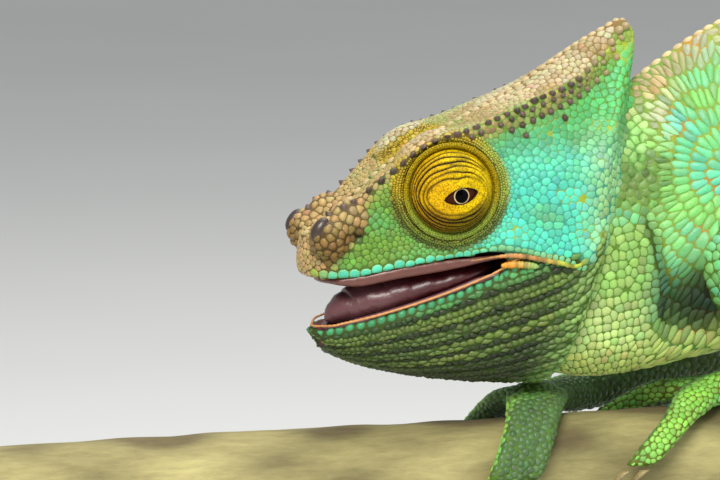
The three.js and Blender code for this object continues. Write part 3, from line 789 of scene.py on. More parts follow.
def fold_shade(points, region):
    """How much light the folds leave, from 0 to 1."""
    light = np.ones(len(points))
    for name, shape in fold_shapes(points, region).items():
        light *= 1 - FOLD_SHADES[name] * shape
    return light


# ---- Placing the scales ----
CANDIDATES_EACH = 4.5  # candidate places for each scale that fits
CLOSEST = 0.77  # least distance between scales at first, as a share of their spacing
RELAX_ROUNDS = 9
LOOSE = 0.05  # a scale with less row weight than this stands in no row
HALF_GAPS, SLACK = 0.52, 1.02  # neighbours settle a little over half the sum of their spacings apart
PUSH = 0.36  # share of a push that is taken up in a round
LONGEST_SNAP = 0.4  # towards a row, in mm a round
LONGEST_MOVE = 0.45  # in a round, as a share of the spacing


def point_normals(points, triangles):
    """Each point's normal, from the triangles round it."""
    corners = points[triangles]
    cross = np.cross(corners[:, 1] - corners[:, 0], corners[:, 2] - corners[:, 0])
    normals = np.zeros_like(points)
    for k in range(3):
        np.add.at(normals, triangles[:, k], cross)
    return unit(normals)


class Surface:
    """The skin as triangles with a search tree, in mm."""

    def __init__(self, points, quads, region):
        self.points = points
        self.quads = quads
        self.triangles = halved(quads)
        self.region = region
        self.corners = points[self.triangles]
        edges = self.corners[:, 1:] - self.corners[:, :1]
        self.area = 0.5 * np.linalg.norm(np.cross(edges[:, 0], edges[:, 1]), axis=1)
        self.middle = self.corners.mean(1)
        self.tree = BVHTree.FromPolygons(points.tolist(), self.triangles.tolist(), all_triangles=True)
        self.normals = point_normals(points, self.triangles)

    def nearest(self, points):
        """The nearest points on the skin, with their smooth normals and regions."""
        found = [self.tree.find_nearest(p) for p in points.tolist()]
        face = np.array([f[2] for f in found], int)
        at = np.array([f[0] for f in found], float)
        corners = self.triangles[face]
        weights = 1.0 / (np.linalg.norm(self.points[corners] - at[:, None], axis=-1) + 1e-3)
        normal = unit((self.normals[corners] * weights[..., None]).sum(1))
        region = self.region[corners[np.arange(len(at)), weights.argmax(1)]]
        return at, normal, region


def seeded_sites(surface):
    """Many more candidate places for scales than are kept, with the spacing at each."""
    face_region = surface.region[surface.triangles[:, 0]]
    gap = spacing(surface.middle, face_region, tail_shares(surface.middle, face_region))
    density = np.where(face_region < MOUTH, surface.area / gap**2, 0.0)
    count = int(density.sum() * CANDIDATES_EACH)
    pick = RNG.choice(len(density), count, p=density / density.sum())
    a, b = RNG.random((2, count))
    flip = a + b > 1
    a, b = np.where(flip, 1 - a, a), np.where(flip, 1 - b, b)
    c = surface.corners[pick]
    places = c[:, 0] + a[:, None] * (c[:, 1] - c[:, 0]) + b[:, None] * (c[:, 2] - c[:, 0])
    return places, gap[pick]


def thinned(places, gaps, fixed, fixed_gaps):
    """The fixed places, and the others that aren't too close to one already kept."""
    everything = np.vstack([fixed, places])
    reach = np.concatenate([fixed_gaps, gaps])
    tree = search_tree(everything)
    alive = np.ones(len(everything), bool)
    for i, p in enumerate(everything.tolist()):
        if not alive[i]:
            continue
        for _, j, _ in tree.find_range(p, CLOSEST * reach[i]):
            if j > i and j >= len(fixed):
                alive[j] = False
    return everything[alive]


def neighbours(points, count):
    """Indices of the nearest points to each point."""
    tree = search_tree(points)
    return np.array([[j for _, j, _ in tree.find_n(p, count + 1)][1:] for p in points.tolist()], int)


def row_frames(points, normal, region, share, gap):
    """Across-row directions and the stretch that makes a row's pitch count as one spacing."""
    step = 0.3
    base, weight = row_phase(points, region, share)
    gradient = np.zeros_like(points)
    tail = region == TAIL
    station = np.clip((share[tail] * TAIL_STEPS).astype(int), 0, TAIL_STEPS)
    for k in range(3):
        moved = points.copy()
        moved[:, k] += step
        moved_share = share.copy()
        moved_share[tail] += step * TAIL_WAYS[station, k] / TAIL_LENGTH
        gradient[:, k] = (row_phase(moved, region, moved_share)[0] - base) / step
    gradient -= normal * (gradient * normal).sum(-1, keepdims=True)
    steep = np.linalg.norm(gradient, axis=-1)
    weight = weight * smooth(0.05, 0.15, steep)
    across = np.where(steep[:, None] > 1e-6, gradient / np.maximum(steep, 1e-6)[:, None], 0)
    pitch = 1 / np.maximum(steep, 0.1)
    stretch = np.where(weight > LOOSE, np.clip(gap / pitch, 0.4, 1.6), 1.0)
    return base, weight, across, pitch, stretch


def pushes(points, near, gap, across, stretch):
    """How far each scale is pushed away by neighbours that stand too close."""
    d = points[near] - points[:, None]
    over = (d * across[:, None]).sum(-1)
    d = d + across[:, None] * (over * (stretch[:, None] - 1))[..., None]
    length = np.maximum(np.linalg.norm(d, axis=-1), 1e-6)
    want = HALF_GAPS * (gap[:, None] + gap[near]) * SLACK
    push = np.maximum(0, want - length) / length
    return -(d * push[..., None]).sum(1) * PUSH


def relaxed(surface, places, held):
    """Spreads the scales evenly over the skin and draws them into rows; the first held places stay put."""
    points, normal, region = surface.nearest(places)
    near = None
    for turn in range(RELAX_ROUNDS):
        share = tail_shares(points, region)
        gap = spacing(points, region, share)
        if turn % 3 == 0:
            near = neighbours(points, 8)
        base, weight, across, pitch, stretch = row_frames(points, normal, region, share, gap)
        move = pushes(points, near, gap, across, stretch)
        move -= normal * (move * normal).sum(-1, keepdims=True)
        snap = (np.round(base) - base) * pitch * weight * (0.25 + 0.35 * turn / RELAX_ROUNDS)
        move += across * np.clip(snap, -LONGEST_SNAP, LONGEST_SNAP)[:, None]
        size = np.linalg.norm(move, axis=-1, keepdims=True)
        move *= np.minimum(1, LONGEST_MOVE * gap[:, None] / np.maximum(size, 1e-9))
        move[:held] = 0
        points, normal, region = surface.nearest(points + move)
    return points, normal, region


# ---- Colours ----
def paint(*rgb):
    """An sRGB colour, given 0 to 255, as linear values."""
    c = np.array(rgb, float) / 255
    return np.where(c <= 0.04045, c / 12.92, ((c + 0.055) / 1.055) ** 2.4)


TURQUOISE = paint(76, 204, 176)
SEA_GREEN = paint(80, 176, 100)
LEAF = paint(100, 142, 44)
LIME = paint(146, 168, 62)
YELLOW_GREEN = paint(150, 168, 48)
TAN = paint(178, 152, 96)
BROWN = paint(128, 100, 46)
BEIGE = paint(178, 158, 114)
PALE = paint(170, 172, 140)
CREAM = paint(226, 220, 160)
UMBER = paint(74, 58, 50)
OLIVE_GOLD = paint(146, 124, 4)
GOLD = paint(238, 200, 0)
THROAT = paint(66, 88, 32)
THROAT_PALE = paint(114, 132, 50)
THROAT_DARK_AND_SHADE = paint(32, 44, 10)
COLLAR = paint(142, 182, 94)
FLANK = paint(118, 186, 92)
ORANGE = paint(204, 136, 44)
LIP = paint(202, 140, 78)
COLLAR_PALE_AND_LIT = paint(194, 218, 136)
BELLY = paint(184, 200, 110)
NAPE = paint(188, 146, 88)
NECK_OLIVE = paint(96, 118, 52)
FLANK_BAND = paint(36, 118, 92)
TAIL_BAND = paint(40, 112, 78)
TOE_CREASE = paint(120, 90, 30)
LIP_CORNER = paint(226, 150, 40)
LID_ORANGE = paint(226, 154, 4)
LID_CREASE_SHADE = paint(36, 26, 2)
LID_EDGE_SHADE = paint(46, 26, 6)
LID_RIM_SHADE = paint(86, 66, 8)
LID_INSIDE_SHADE = paint(50, 26, 8)
PUPIL = paint(2, 2, 2)
IRIS = paint(60, 26, 10)
IRIS_RING = paint(206, 184, 140)
CLAW_PALE = paint(150, 134, 92)
CLAW_DARK = paint(66, 54, 34)
BARK = paint(116, 108, 68)
BARK_PALE = paint(170, 160, 106)
BARK_DARK = paint(92, 78, 50)
SAWN_WOOD = paint(206, 180, 132)
STAIN_DARK = paint(38, 26, 20)
STAIN_WARM = paint(92, 62, 42)
STEEL_DARK = (0.52, 0.52, 0.53)
STEEL_PALE = (0.68, 0.68, 0.69)
FLOOR_DARK = (0.62, 0.62, 0.6)
FLOOR_PALE = (0.68, 0.68, 0.66)
SKY = (0.94, 0.97, 1.0)
MOUTH_PINK = paint(102, 58, 48)
SHADED_MAROON = paint(66, 16, 20)
GUM = paint(112, 66, 70)
INNER_GREEN_AND_SHADE = paint(74, 104, 62)
LIMB_GREEN = paint(112, 176, 92)
HAND_GREEN = paint(144, 202, 78)


def blend(base, colour, weight):
    return base + (colour - base) * np.clip(weight, 0, 1)[:, None]


def spread(colour, like):
    return np.tile(colour, (len(like), 1))


def head_colours(points, patch, broad):
    """Leaf green ahead of and under the eye, turquoise cheek, limy crest, tan snout and pale crown."""
    x, _, z = points.T
    under = below_crest(points)
    m = blend(spread(LEAF, x), SEA_GREEN, 0.05 + 0.25 * patch + 0.55 * smooth(-14, -2, x))
    cheek = smooth(3, 12, x + 0.25 * patch) * smooth(17, 1, z) * smooth(2, 7, under)
    m = blend(m, TURQUOISE, cheek * (0.85 + 0.3 * patch)) * (1 - 0.25 * smooth(0, 12, z))[:, None]
    m = blend(m, TURQUOISE, 0.7 * smooth(-2, 8, x) * smooth(-8, -11, z))
    m = blend(m, SEA_GREEN, smooth(8, 18, z) * smooth(8, 16, x) * smooth(3, 7, under))
    m = blend(m, LIME, smooth(7.5, 1.5, under) * (0.7 + 0.3 * patch))
    m = blend(m, mix(COLLAR, CREAM, 0.3), 0.6 * smooth(24, 34, x) * smooth(16, 2, z))
    tan = smooth(-19, -23, x - 0.5 * (z + 9) + patch)
    m = blend(m, TAN, tan)
    m = blend(m, TAN * 0.85, smooth(4.5, 1.5, under) * smooth(0, -6, x))
    strip = smooth(5.5, 2.5, under) * smooth(-6, 2, x) * smooth(40, 28, x)
    m = blend(m, TAN * 0.7, strip * (0.7 + 0.3 * patch))
    crown = smooth(0.6, -0.6, under)
    marbled = mix(BEIGE, PALE, np.clip(0.5 + 0.6 * broad, 0, 1)[:, None])
    m = blend(m, blend(marbled, BROWN * 1.15, np.clip(0.9 * patch - 0.1, 0, 0.7)), crown)
    b = blend(spread(LEAF * 0.8, x), TURQUOISE * 0.5, 0.9 * cheek)
    b = blend(b, YELLOW_GREEN, smooth(0.3, 1.1, patch + 0.4 * broad) * smooth(4, 10, x))
    b = blend(b, THROAT_DARK_AND_SHADE, 0.45 * smooth(0, -8, x))
    b = blend(b, BROWN * 0.5, tan)
    b = blend(b, BROWN * 0.9, crown)
    return m, b


def jaw_colours(points, phase, patch):
    """Green beads by the lip, then ropes of pale beads, with painted shade in the grooves between the ropes,
    on the lower front of the jaw and deep under the throat.
    """
    x = points[:, 0]
    depth = throat_depth(points)
    rope = np.round(phase) / ROPE_ROWS
    ridge = (0.5 - 0.5 * np.cos(2 * np.pi * np.round(phase) / ROPE_ROWS)) / 0.75
    alternate = 0.5 + 0.5 * np.sin(np.floor(rope) * 2.2 + 1.2 * np.sin(x / 9.0))
    m = blend(spread(SEA_GREEN, x), THROAT, smooth(1, 5, depth))
    m = blend(m, THROAT_PALE, smooth(3, 8, depth) * (0.05 + 0.7 * alternate * ridge) * (0.8 + 0.2 * patch))
    # Painted shade: darker in the grooves between ropes, towards the front of the lower jaw and deep under
    # the throat.
    m = blend(m, THROAT_DARK_AND_SHADE, 0.6 * (1 - ridge) * smooth(2.5, 5, depth))
    m = blend(m, THROAT_DARK_AND_SHADE, 0.45 * smooth(6, -18, x) * smooth(4, 9, depth))
    m = blend(m, THROAT_DARK_AND_SHADE * 0.8, 0.85 * smooth(18, 23, depth))
    rear = smooth(-11, -2, behind_cheek(points))
    m = blend(m, COLLAR * 0.8, 0.75 * rear)
    b = blend(spread(THROAT_DARK_AND_SHADE, x), LEAF * 0.5, 0.4 + 0.6 * rear)
    return m, blend(b, ORANGE * 0.8, smooth(2.4, 0.8, depth))


def body_colours(points, patch, broad):
    """Beaded collar, cream and tan nape, and turquoise green flanks with dark bands."""
    x, _, z = points.T
    behind = behind_cheek(points)
    height = (z - belly_line(x)) / np.maximum(back_line(x) - belly_line(x), 1)
    m = mix(FLANK, TURQUOISE, np.clip(0.12 + 0.4 * broad + 0.3 * patch, 0, 1)[:, None])
    # Paler towards the bottom of the collar: partly its own colour and partly painted light under the neck.
    collar = mix(COLLAR, COLLAR_PALE_AND_LIT, (smooth(-20, -32, z) * (0.8 + 0.2 * patch))[:, None])
    m = blend(m, collar, smooth(50, 42, x) * smooth(-4, -10, z))
    m = blend(m, BELLY, smooth(0.22, 0.05, height))
    nape = smooth(12, 4, behind)
    m = blend(m, CREAM * 0.85, 0.55 * nape * smooth(4, 9, z) * (0.8 + 0.4 * patch))
    m = blend(m, NAPE, nape * smooth(15, 20, z) * (0.75 + 0.25 * patch))
    m = blend(m, BEIGE * 0.8, 0.8 * smooth(0.88, 0.97, height) * smooth(110, 62, x))
    m = blend(m, NECK_OLIVE, 0.85 * smooth(13, 6, behind) * smooth(7, 4, z) * smooth(-8, -3, z))
    band = smooth(0.3, 0.9, np.sin((x + 0.75 * z) / 8.6 + 0.7)) * smooth(66, 90, x)
    m = blend(m, FLANK_BAND, 0.6 * band * smooth(0.1, 0.3, height) * smooth(196, 170, x))
    b = blend(FLANK * 0.5, YELLOW_GREEN * 0.8, np.clip(0.6 + 0.5 * broad, 0, 1))
    b = blend(b, ORANGE * 0.7, 0.75 * smooth(0.2, 1.0, patch) * smooth(46, 54, x))
    b = blend(b, LEAF * 0.75, smooth(49, 44, x) * smooth(-4, -10, z))
    return m, b


def limb_colours(region, normal, side, patch):
    """Bright green outer sides and darker green inner sides, partly the animal's own colour and partly
    painted shade, with brown creases between the toes.
    """
    outward = smooth(-0.45, 0.35, normal[:, 1] * side)
    m = blend(spread(LIMB_GREEN, patch), TURQUOISE, 0.2 + 0.35 * patch)
    hand = region == HAND
    m[hand] = blend(spread(HAND_GREEN, patch), FLANK, 0.3 + 0.4 * patch)[hand]
    # Darker inner sides: partly their own colour and partly painted shade.
    m = blend(spread(INNER_GREEN_AND_SHADE, patch), m, outward)
    b = blend(spread(LEAF * 0.6, patch), TOE_CREASE, 0.35 * hand * outward)
    return m, b


def tail_colours(share, patch):
    """Turquoise green with darker bands, parted by yellow green."""
    m = mix(FLANK, TURQUOISE, np.clip(0.4 + 0.5 * patch, 0, 1)[:, None])
    m = blend(m, TAIL_BAND, 0.7 * smooth(0.2, 0.9, np.sin(share * 62)) * smooth(0.0, 0.06, share))
    return m, spread(YELLOW_GREEN * 0.45, patch)


def ring_colours(points, patch, head, around):
    """Olive gold rings round the eyes, limy below and behind, that pass into the colours of the head."""
    from_eye, fore_aft, above_eye = eye_offset(points)
    limy = smooth(2, -9, above_eye) * (0.3 + 0.7 * smooth(9, 12, from_eye))
    m = blend(spread(OLIVE_GOLD * 1.35, patch), LIME, limy)
    m = blend(m, LIME, 0.75 * smooth(3, 10, fore_aft)) * (1 + 0.2 * patch)[:, None]
    outside = 1 - smooth(13.3, 12.1, from_eye) * smooth(-0.5, 0.5, below_crest(points))
    return blend(m, head, outside), blend(m * 0.25, around, outside)


def colours_at(points, normal, region, share, phase, side):
    """The colour of the middle of a scale, and of the skin between scales, at each point."""
    x, _, z = points.T
    patch = waves(points, size=5.0, seed=1)
    broad = waves(points, size=16.0, seed=2)
    # The snout's lobes are brown and tan on top, partly their own colour and partly painted light from above.
    lobe = blend(spread(BROWN, x), TAN, 0.7 * smooth(-9, -5, z))
    # Painted shade: dark maroon high in the mouth, passing into gum colour low down.
    inside = blend(spread(SHADED_MAROON, x), GUM, smooth(-20, -25, z - 0.2 * (x + 10)))
    # Painted shade: the sockets' skin is the lid colour darkened, in the hollow round each eye.
    socket = spread(OLIVE_GOLD * 0.3, x)
    face = ring_colours(points, patch, *head_colours(points, patch, broad))
    limb = limb_colours(region, normal, side, patch)
    by_region = {
        HEAD: face,
        RING: face,
        PROCESS: (lobe, lobe * 0.3),
        JAW: jaw_colours(points, phase, patch),
        BODY: body_colours(points, patch, broad),
        TAIL: tail_colours(share, patch),
        ARM: limb,
        HAND: limb,
        MOUTH: (inside, inside),
        SOCKET: (socket, socket),
    }
    middle, between = np.zeros((2, len(points), 3))
    for code, (scale, gap) in by_region.items():
        mine = region == code
        middle[mine], between[mine] = scale[mine], gap[mine]
    light = fold_shade(points, region)[:, None]
    return np.clip(middle * light, 0, 1), np.clip(between * light, 0, 1)


# ---- Scales as meshes ----
SIDES = 10  # points in each ring of a dome
RINGS = (0.62, 0.9, 1.0)  # reach of a dome's rings
ROOT_DEPTH = 0.12  # how far the rim of a dome goes into the skin
PATCH_SIZE = 0.0015  # reach of a scale's patch in the map, as a share of the map


def make_object(name, points, faces, material, colours=None):
    """A smooth mesh object from points in mm and faces of one size, with an optional colour per point."""
    mesh = bpy.data.meshes.new(name)
    world = (points + EYE_LINE) / 1000.0
    faces = np.asarray(faces, int)
    mesh.vertices.add(len(world))
    mesh.vertices.foreach_set("co", world.astype(np.float32).ravel())
    mesh.loops.add(faces.size)
    mesh.loops.foreach_set("vertex_index", faces.ravel().astype(np.int32))
    mesh.polygons.add(len(faces))
    mesh.polygons.foreach_set("loop_start", np.arange(0, faces.size, faces.shape[1], dtype=np.int32))
    mesh.update(calc_edges=True)
    mesh.validate()
    mesh.polygons.foreach_set("use_smooth", np.ones(len(mesh.polygons), bool))
    if colours is not None:
        store = mesh.color_attributes.new("Col", "FLOAT_COLOR", "POINT")
        opaque = np.column_stack([colours, np.ones(len(colours))])
        store.data.foreach_set("color", opaque.astype(np.float32).ravel())
    mesh.materials.append(material)
    obj = bpy.data.objects.new(name, mesh)
    bpy.context.scene.collection.objects.link(obj)
    return obj


def outline_radii(offset, theirs, mine, reach, power):
    """Radius of each scale's outline in SIDES directions: a rounded cell between its neighbours."""
    distance = np.hypot(offset[..., 0], offset[..., 1])
    bearing = np.arctan2(offset[..., 1], offset[..., 0])
    shared = 1.05 * distance * (mine[:, None] / (mine[:, None] + theirs))
    turn = np.arange(SIDES) * 2 * np.pi / SIDES
    facing = np.maximum(np.cos(turn[None, :, None] - bearing[:, None, :]), 0)
    pull = ((facing / shared[:, None, :]) ** power[..., None]).sum(-1) + (1 / reach[:, None]) ** power
    return pull ** (-1 / power), turn


def scale_axes(sites):
    """Directions along and across the row of each scale, or any directions where there is no row."""
    normal, across = sites["normal"], sites["across"].copy()
    loose = sites["weight"] < LOOSE
    spare = unit(np.cross(normal, np.array([0.31, 0.2, 0.93])))
    across[loose] = spare[loose]
    across = unit(across - normal * (across * normal).sum(-1, keepdims=True))
    return np.cross(across, normal), across


def scale_meshes(surface, sites):
    """Domes for all scales: rings of points around each root, and their places across it as shares."""
    points, normal, gap, stretch = sites["points"], sites["normal"], sites["gap"], sites["stretch"]
    near = neighbours(points, 12)
    along, across = scale_axes(sites)
    d = points[near] - points[:, None]
    offset = np.stack([(d * along[:, None]).sum(-1), (d * across[:, None]).sum(-1) * stretch[:, None]], -1)
    radius, turn = outline_radii(offset, gap[near], gap, sites["reach"] * gap, sites["power"][:, None])
    radius = np.maximum(radius - sites["rim"][:, None], 0.12 * gap[:, None])
    flat = (
        along[:, None] * (radius * np.cos(turn) * sites["longer"][:, None])[..., None]
        + across[:, None] * (radius * np.sin(turn) / (stretch * sites["longer"])[:, None])[..., None]
    )
    edge = points[:, None] + flat
    edge = surface.nearest(edge.reshape(-1, 3))[0].reshape(edge.shape)
    height = sites["height"]
    rings = [points[:, None] + (normal * height[:, None])[:, None]]
    for f in RINGS:
        rise = height * (1 - f ** sites["crown"]) if f < 1 else np.full(len(points), -ROOT_DEPTH)
        rings.append(points[:, None] + (edge - points[:, None]) * f + (normal * rise[:, None])[:, None])
    local = flat / np.maximum(np.linalg.norm(flat, axis=-1).max(-1), 1e-6)[:, None, None]
    reach_uv = np.stack([(local * along[:, None]).sum(-1), (local * across[:, None]).sum(-1)], -1)
    return np.concatenate(rings, 1), reach_uv


def dome_faces():
    """Triangles of one dome over its centre point and rings."""
    faces = []
    for k in range(SIDES):
        faces.append((0, 1 + k, 1 + (k + 1) % SIDES))
    for r in range(len(RINGS) - 1):
        low = 1 + r * SIDES
        for k in range(SIDES):
            a, b = low + k, low + (k + 1) % SIDES
            faces += [(a, a + SIDES, b + SIDES), (a, b + SIDES, b)]
    return np.array(faces)


DOME = dome_faces()
POINTS_EACH = 1 + SIDES * len(RINGS)


def add_scales(name, which, domes, reach_uv, sites, root_uv, material):
    """One joined mesh of the chosen scales."""
    index = np.flatnonzero(which)
    points = domes[index].reshape(-1, 3)
    faces = (DOME[None] + (np.arange(len(index)) * POINTS_EACH)[:, None, None]).reshape(-1, 3)
    fractions = np.concatenate([[0.0], np.repeat(RINGS, SIDES)])
    edge = smooth(0.84, 1.0, fractions)[None, :, None] * sites["edge"][index][:, None, None]
    tint = sites["middle"][index][:, None] * (1 - edge) + sites["between"][index][:, None] * edge
    obj = make_object(name, points, faces, material, tint.reshape(-1, 3))
    local = np.concatenate([np.zeros((len(index), 1, 2))] + [reach_uv[index] * f for f in RINGS], 1)
    uv = root_uv[index][:, None] + local * PATCH_SIZE
    layer = obj.data.uv_layers.new(name="OFBake")
    layer.data.foreach_set("uv", uv.reshape(-1, 2)[faces.ravel()].astype(np.float32).ravel())
    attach(obj, "root")


# ---- Special rows of scales ----
def lip_rows(add, side):
    """Labial scales along both lips of one side."""
    x = -28.9
    while x < 13:
        size = mix(2.35, 1.75, float(smooth(-18, 10, x)))
        add("upper_labial", size, x, side * lip_width(x), upper_lip(x) + 0.52 * size)
        x += size * (0.72 if x < -27 else 0.98)
    while x < 29:
        add("upper_labial", 1.35, x, side * lip_width(x), upper_lip(x) + 0.8)
        x += 1.35
    x = -27.6
    while x < 13.5:
        size = mix(2.1, 1.9, float(smooth(-20, 12, x)))
        add("lower_labial", size, x, side * jaw_width(x), lower_lip(x) - 0.62 * size)
        x += size * (0.8 if x < -26 else 1.0)


def crest_rows(add, side):
    """Tubercles along the crest of one side, and in three looser rows below it."""
    x = -25.5
    while x < 45.5:
        size = RNG.uniform(1.35, 1.6) * (1.15 if x > 18 else 1.0)
        add("tubercle", size, x, side * (crest_width(x) + 0.2), crest_height(x) + 0.1)
        x += 2.25 + RNG.uniform(-0.15, 0.25)
    for level, start, stop, keep in ((2.3, 3.5, 43, 0.95), (4.5, 6.0, 40, 0.7), (6.7, 9.0, 30, 0.35)):
        x = start
        while x < stop:
            if RNG.random() < keep:
                y = side * (crest_width(x) + 0.12 * level)
                add("tubercle", RNG.uniform(1.1, 1.4), x, y, crest_height(x) - level)
            x += 2.35 + RNG.uniform(-0.2, 0.3)


def midline_rows(add):
    """Beads along the back, and along the crown."""
    x = 48.0
    while x < 196:
        size = mix(2.5, 1.8, (x - 48) / 148)
        add("back_bead", size, x, 0.0, back_line(x))
        x += size
    x = -29.0
    while x < 45:
        add("crown_bead", 2.0, x, 0.0, crown_height(x))
        x += 1.9


def special_sites():
    """Kind, spacing and place of the scales that stand in set rows: lips, crests, tubercles and back."""
    kinds, numbers = [], []

    def add(kind, gap, x, y, z):
        kinds.append(kind)
        numbers.append((gap, x, float(y), float(z)))

    for side in (LEFT, RIGHT):
        lip_rows(add, side)
        crest_rows(add, side)
    midline_rows(add)
    numbers = np.array(numbers, float)
    return np.array(kinds), numbers[:, 0], numbers[:, 1:]


def placed_sites(surface):
    """All scales in their places, with the kind, spacing and row of each."""
    kinds, fixed_gap, fixed = special_sites()
    fixed = surface.nearest(fixed)[0]
    held = len(fixed)
    places, gaps = seeded_sites(surface)
    points, normal, region = relaxed(surface, thinned(places, gaps, fixed, fixed_gap), held)
    keep = (region < MOUTH) | (np.arange(len(points)) < held)
    points, normal, region = points[keep], normal[keep], region[keep]
    kind = np.concatenate([kinds, np.full(len(points) - held, "plain")])
    share = tail_shares(points, region)
    gap = spacing(points, region, share)
    gap[:held] = fixed_gap
    phase, weight, across, _, stretch = row_frames(points, normal, region, share, gap)
    stretch[:held] = 1.0
    weight[:held] = 0.0
    return dict(points=points, normal=normal, region=region, kind=kind, share=share, gap=gap, phase=phase,
                weight=weight, across=across, stretch=stretch)


def shape_sites(sites):
    """Gives every scale the dome and outline of its region."""
    points, region, gap = sites["points"], sites["region"], sites["gap"]
    height, reach, rim = np.zeros((3, len(points)))
    for code, (rise, wide, space) in SHAPES.items():
        mine = region == code
        height[mine], reach[mine], rim[mine] = rise * gap[mine], wide, space
    cheek = (region == HEAD) & (points[:, 0] > 8) & (below_crest(points) > 3)
    height[cheek] *= 0.72
    sites.update(
        height=height, reach=reach, rim=rim,
        crown=np.where(np.isin(region, (JAW, PROCESS, RING)), 2.0, 2.6),
        power=np.where(np.isin(region, (HEAD, BODY)), 26.0, 16.0),
        longer=np.where(region == JAW, 1.12, 1.0),
        edge=np.where(region == HEAD, 0.45, 0.6),
    )


def colour_sites(sites, side):
    """Gives every scale its colour, with a little chance in shade, hue and height."""
    count = len(sites["points"])
    middle, between = colours_at(*(sites[k] for k in ("points", "normal", "region", "share", "phase")), side)
    shade = 1 + RNG.normal(0, 0.1, count)
    hue = RNG.normal(0, 0.06, (count, 3))
    sites["middle"] = np.clip(middle * (shade[:, None] + hue), 0, 1)
    sites["between"] = between
    sites["height"] *= 1 + RNG.uniform(-0.2, 0.2, count)


def dress_rows(sites):
    """Shapes and colours the scales that stand in set rows."""
    x, gap = sites["points"][:, 0], sites["gap"]
    middle, between, edge = sites["middle"], sites["between"], sites["edge"]

    def dress(name, rise, wide, crown, colour):
        mine = sites["kind"] == name
        sites["height"][mine] = rise * gap[mine]
        sites["reach"][mine] = wide
        sites["crown"][mine] = crown
        middle[mine] = colour * (0.9 + 0.3 * RNG.random((mine.sum(), 1)))
        return mine

    labial = dress("upper_labial", 0.12, 0.58, 3.0, mix(TURQUOISE, SEA_GREEN, 0.25) * 0.95)
    middle[labial] = blend(middle[labial], LIME, smooth(-24, -29, x[labial]))
    middle[labial] = blend(middle[labial], LIME, 0.4 * smooth(2, 12, x[labial]))
    between[labial] = YELLOW_GREEN * 1.1
    edge[labial] = 1.0
    lower = dress("lower_labial", 0.3, 0.52, 2.0, mix(SEA_GREEN, TURQUOISE, 0.2) * 0.6)
    between[lower] = LEAF * 0.5
    tubercle = dress("tubercle", 0.72, 0.66, 1.35, UMBER)
    middle[tubercle] *= RNG.uniform(0.7, 1.7, (tubercle.sum(), 1))
    middle[tubercle] = blend(middle[tubercle], BEIGE, 0.75 * smooth(26, 40, x[tubercle]))
    between[tubercle] = TAN * 0.4
    edge[tubercle] = 0.5
    dress("back_bead", 0.22, 0.55, 2.0, BEIGE * 1.2)
    dress("crown_bead", 0.25, 0.55, 2.0, BEIGE)


def dressed_sites(surface, parts):
    """All scales with everything that shapes and colours them."""
    sites = placed_sites(surface)
    shape_sites(sites)
    colour_sites(sites, limb_side(parts, sites["points"]))
    dress_rows(sites)
    return sites


# ---- Materials ----
def shader(name, roughness=0.5, **sockets):
    """A Principled material and its node tree."""
    material = bpy.data.materials.new(name)
    material.use_nodes = True
    tree = material.node_tree
    bsdf = tree.nodes["Principled BSDF"]
    bsdf.inputs["Roughness"].default_value = roughness
    for key, value in sockets.items():
        bsdf.inputs[key.replace("_", " ")].default_value = value
    return material, tree, bsdf


def node(tree, kind, **inputs):
    made = tree.nodes.new(kind)
    for key, value in inputs.items():
        made.inputs[key.replace("_", " ")].default_value = value
    return made


def link(tree, output, made, socket):
    tree.links.new(output, made.inputs[socket])


def object_coords(tree):
    """The mesh's own coordinates, from one node per material."""
    made = tree.nodes.get("coords") or tree.nodes.new("ShaderNodeTexCoord")
    made.name = "coords"
    return made.outputs["Object"]


def noise(tree, scale, detail=3.0, rough=0.55, drawn_out=None):
    """Noise over the mesh, which may be drawn out along an axis."""
    made = node(tree, "ShaderNodeTexNoise", Scale=scale, Detail=detail, Roughness=rough)
    coords = object_coords(tree)
    if drawn_out:
        mapping = node(tree, "ShaderNodeMapping", Scale=drawn_out)
        link(tree, coords, mapping, "Vector")
        coords = mapping.outputs["Vector"]
    link(tree, coords, made, "Vector")
    return made.outputs["Fac"]


def mesh_colour(tree):
    """The colour stored on the mesh."""
    made = tree.nodes.new("ShaderNodeVertexColor")
    made.layer_name = "Col"
    return made.outputs["Color"]


def ramped(tree, value, low, high):
    """A colour between low and high, by a grey value."""
    made = tree.nodes.new("ShaderNodeMix")
    made.data_type = "RGBA"
    factor, first, second, result = 0, 6, 7, 2  # sockets by number, because their names aren't unique
    made.inputs[first].default_value = (*low, 1)
    made.inputs[second].default_value = (*high, 1)
    link(tree, value, made, factor)
    return made.outputs[result]


def remapped(tree, value, low, high):
    made = node(tree, "ShaderNodeMapRange", To_Min=low, To_Max=high)
    link(tree, value, made, "Value")
    return made.outputs["Result"]


def times(tree, colour, factor):
    """A colour darkened or lightened by a grey value."""
    made = tree.nodes.new("ShaderNodeVectorMath")
    made.operation = "SCALE"
    link(tree, colour, made, 0)
    link(tree, factor, made, "Scale")
    return made.outputs["Vector"]


def bumped(tree, bsdf, value, strength, distance):
    made = node(tree, "ShaderNodeBump", Strength=strength, Distance=distance)
    link(tree, value, made, "Height")
    link(tree, made.outputs["Normal"], bsdf, "Normal")


def painted_material(name, roughness, grain, bump, **sockets):
    """Takes its colour from the mesh, varied by fine noise, with a grainy bump and a range of roughness."""
    material, tree, bsdf = shader(name, **sockets)
    fine = noise(tree, grain, 4.0)
    link(tree, times(tree, mesh_colour(tree), remapped(tree, fine, 0.75, 1.25)), bsdf, "Base Color")
    link(tree, remapped(tree, noise(tree, grain * 0.4), *roughness), bsdf, "Roughness")
    bumped(tree, bsdf, fine, bump, 0.0002)
    return material


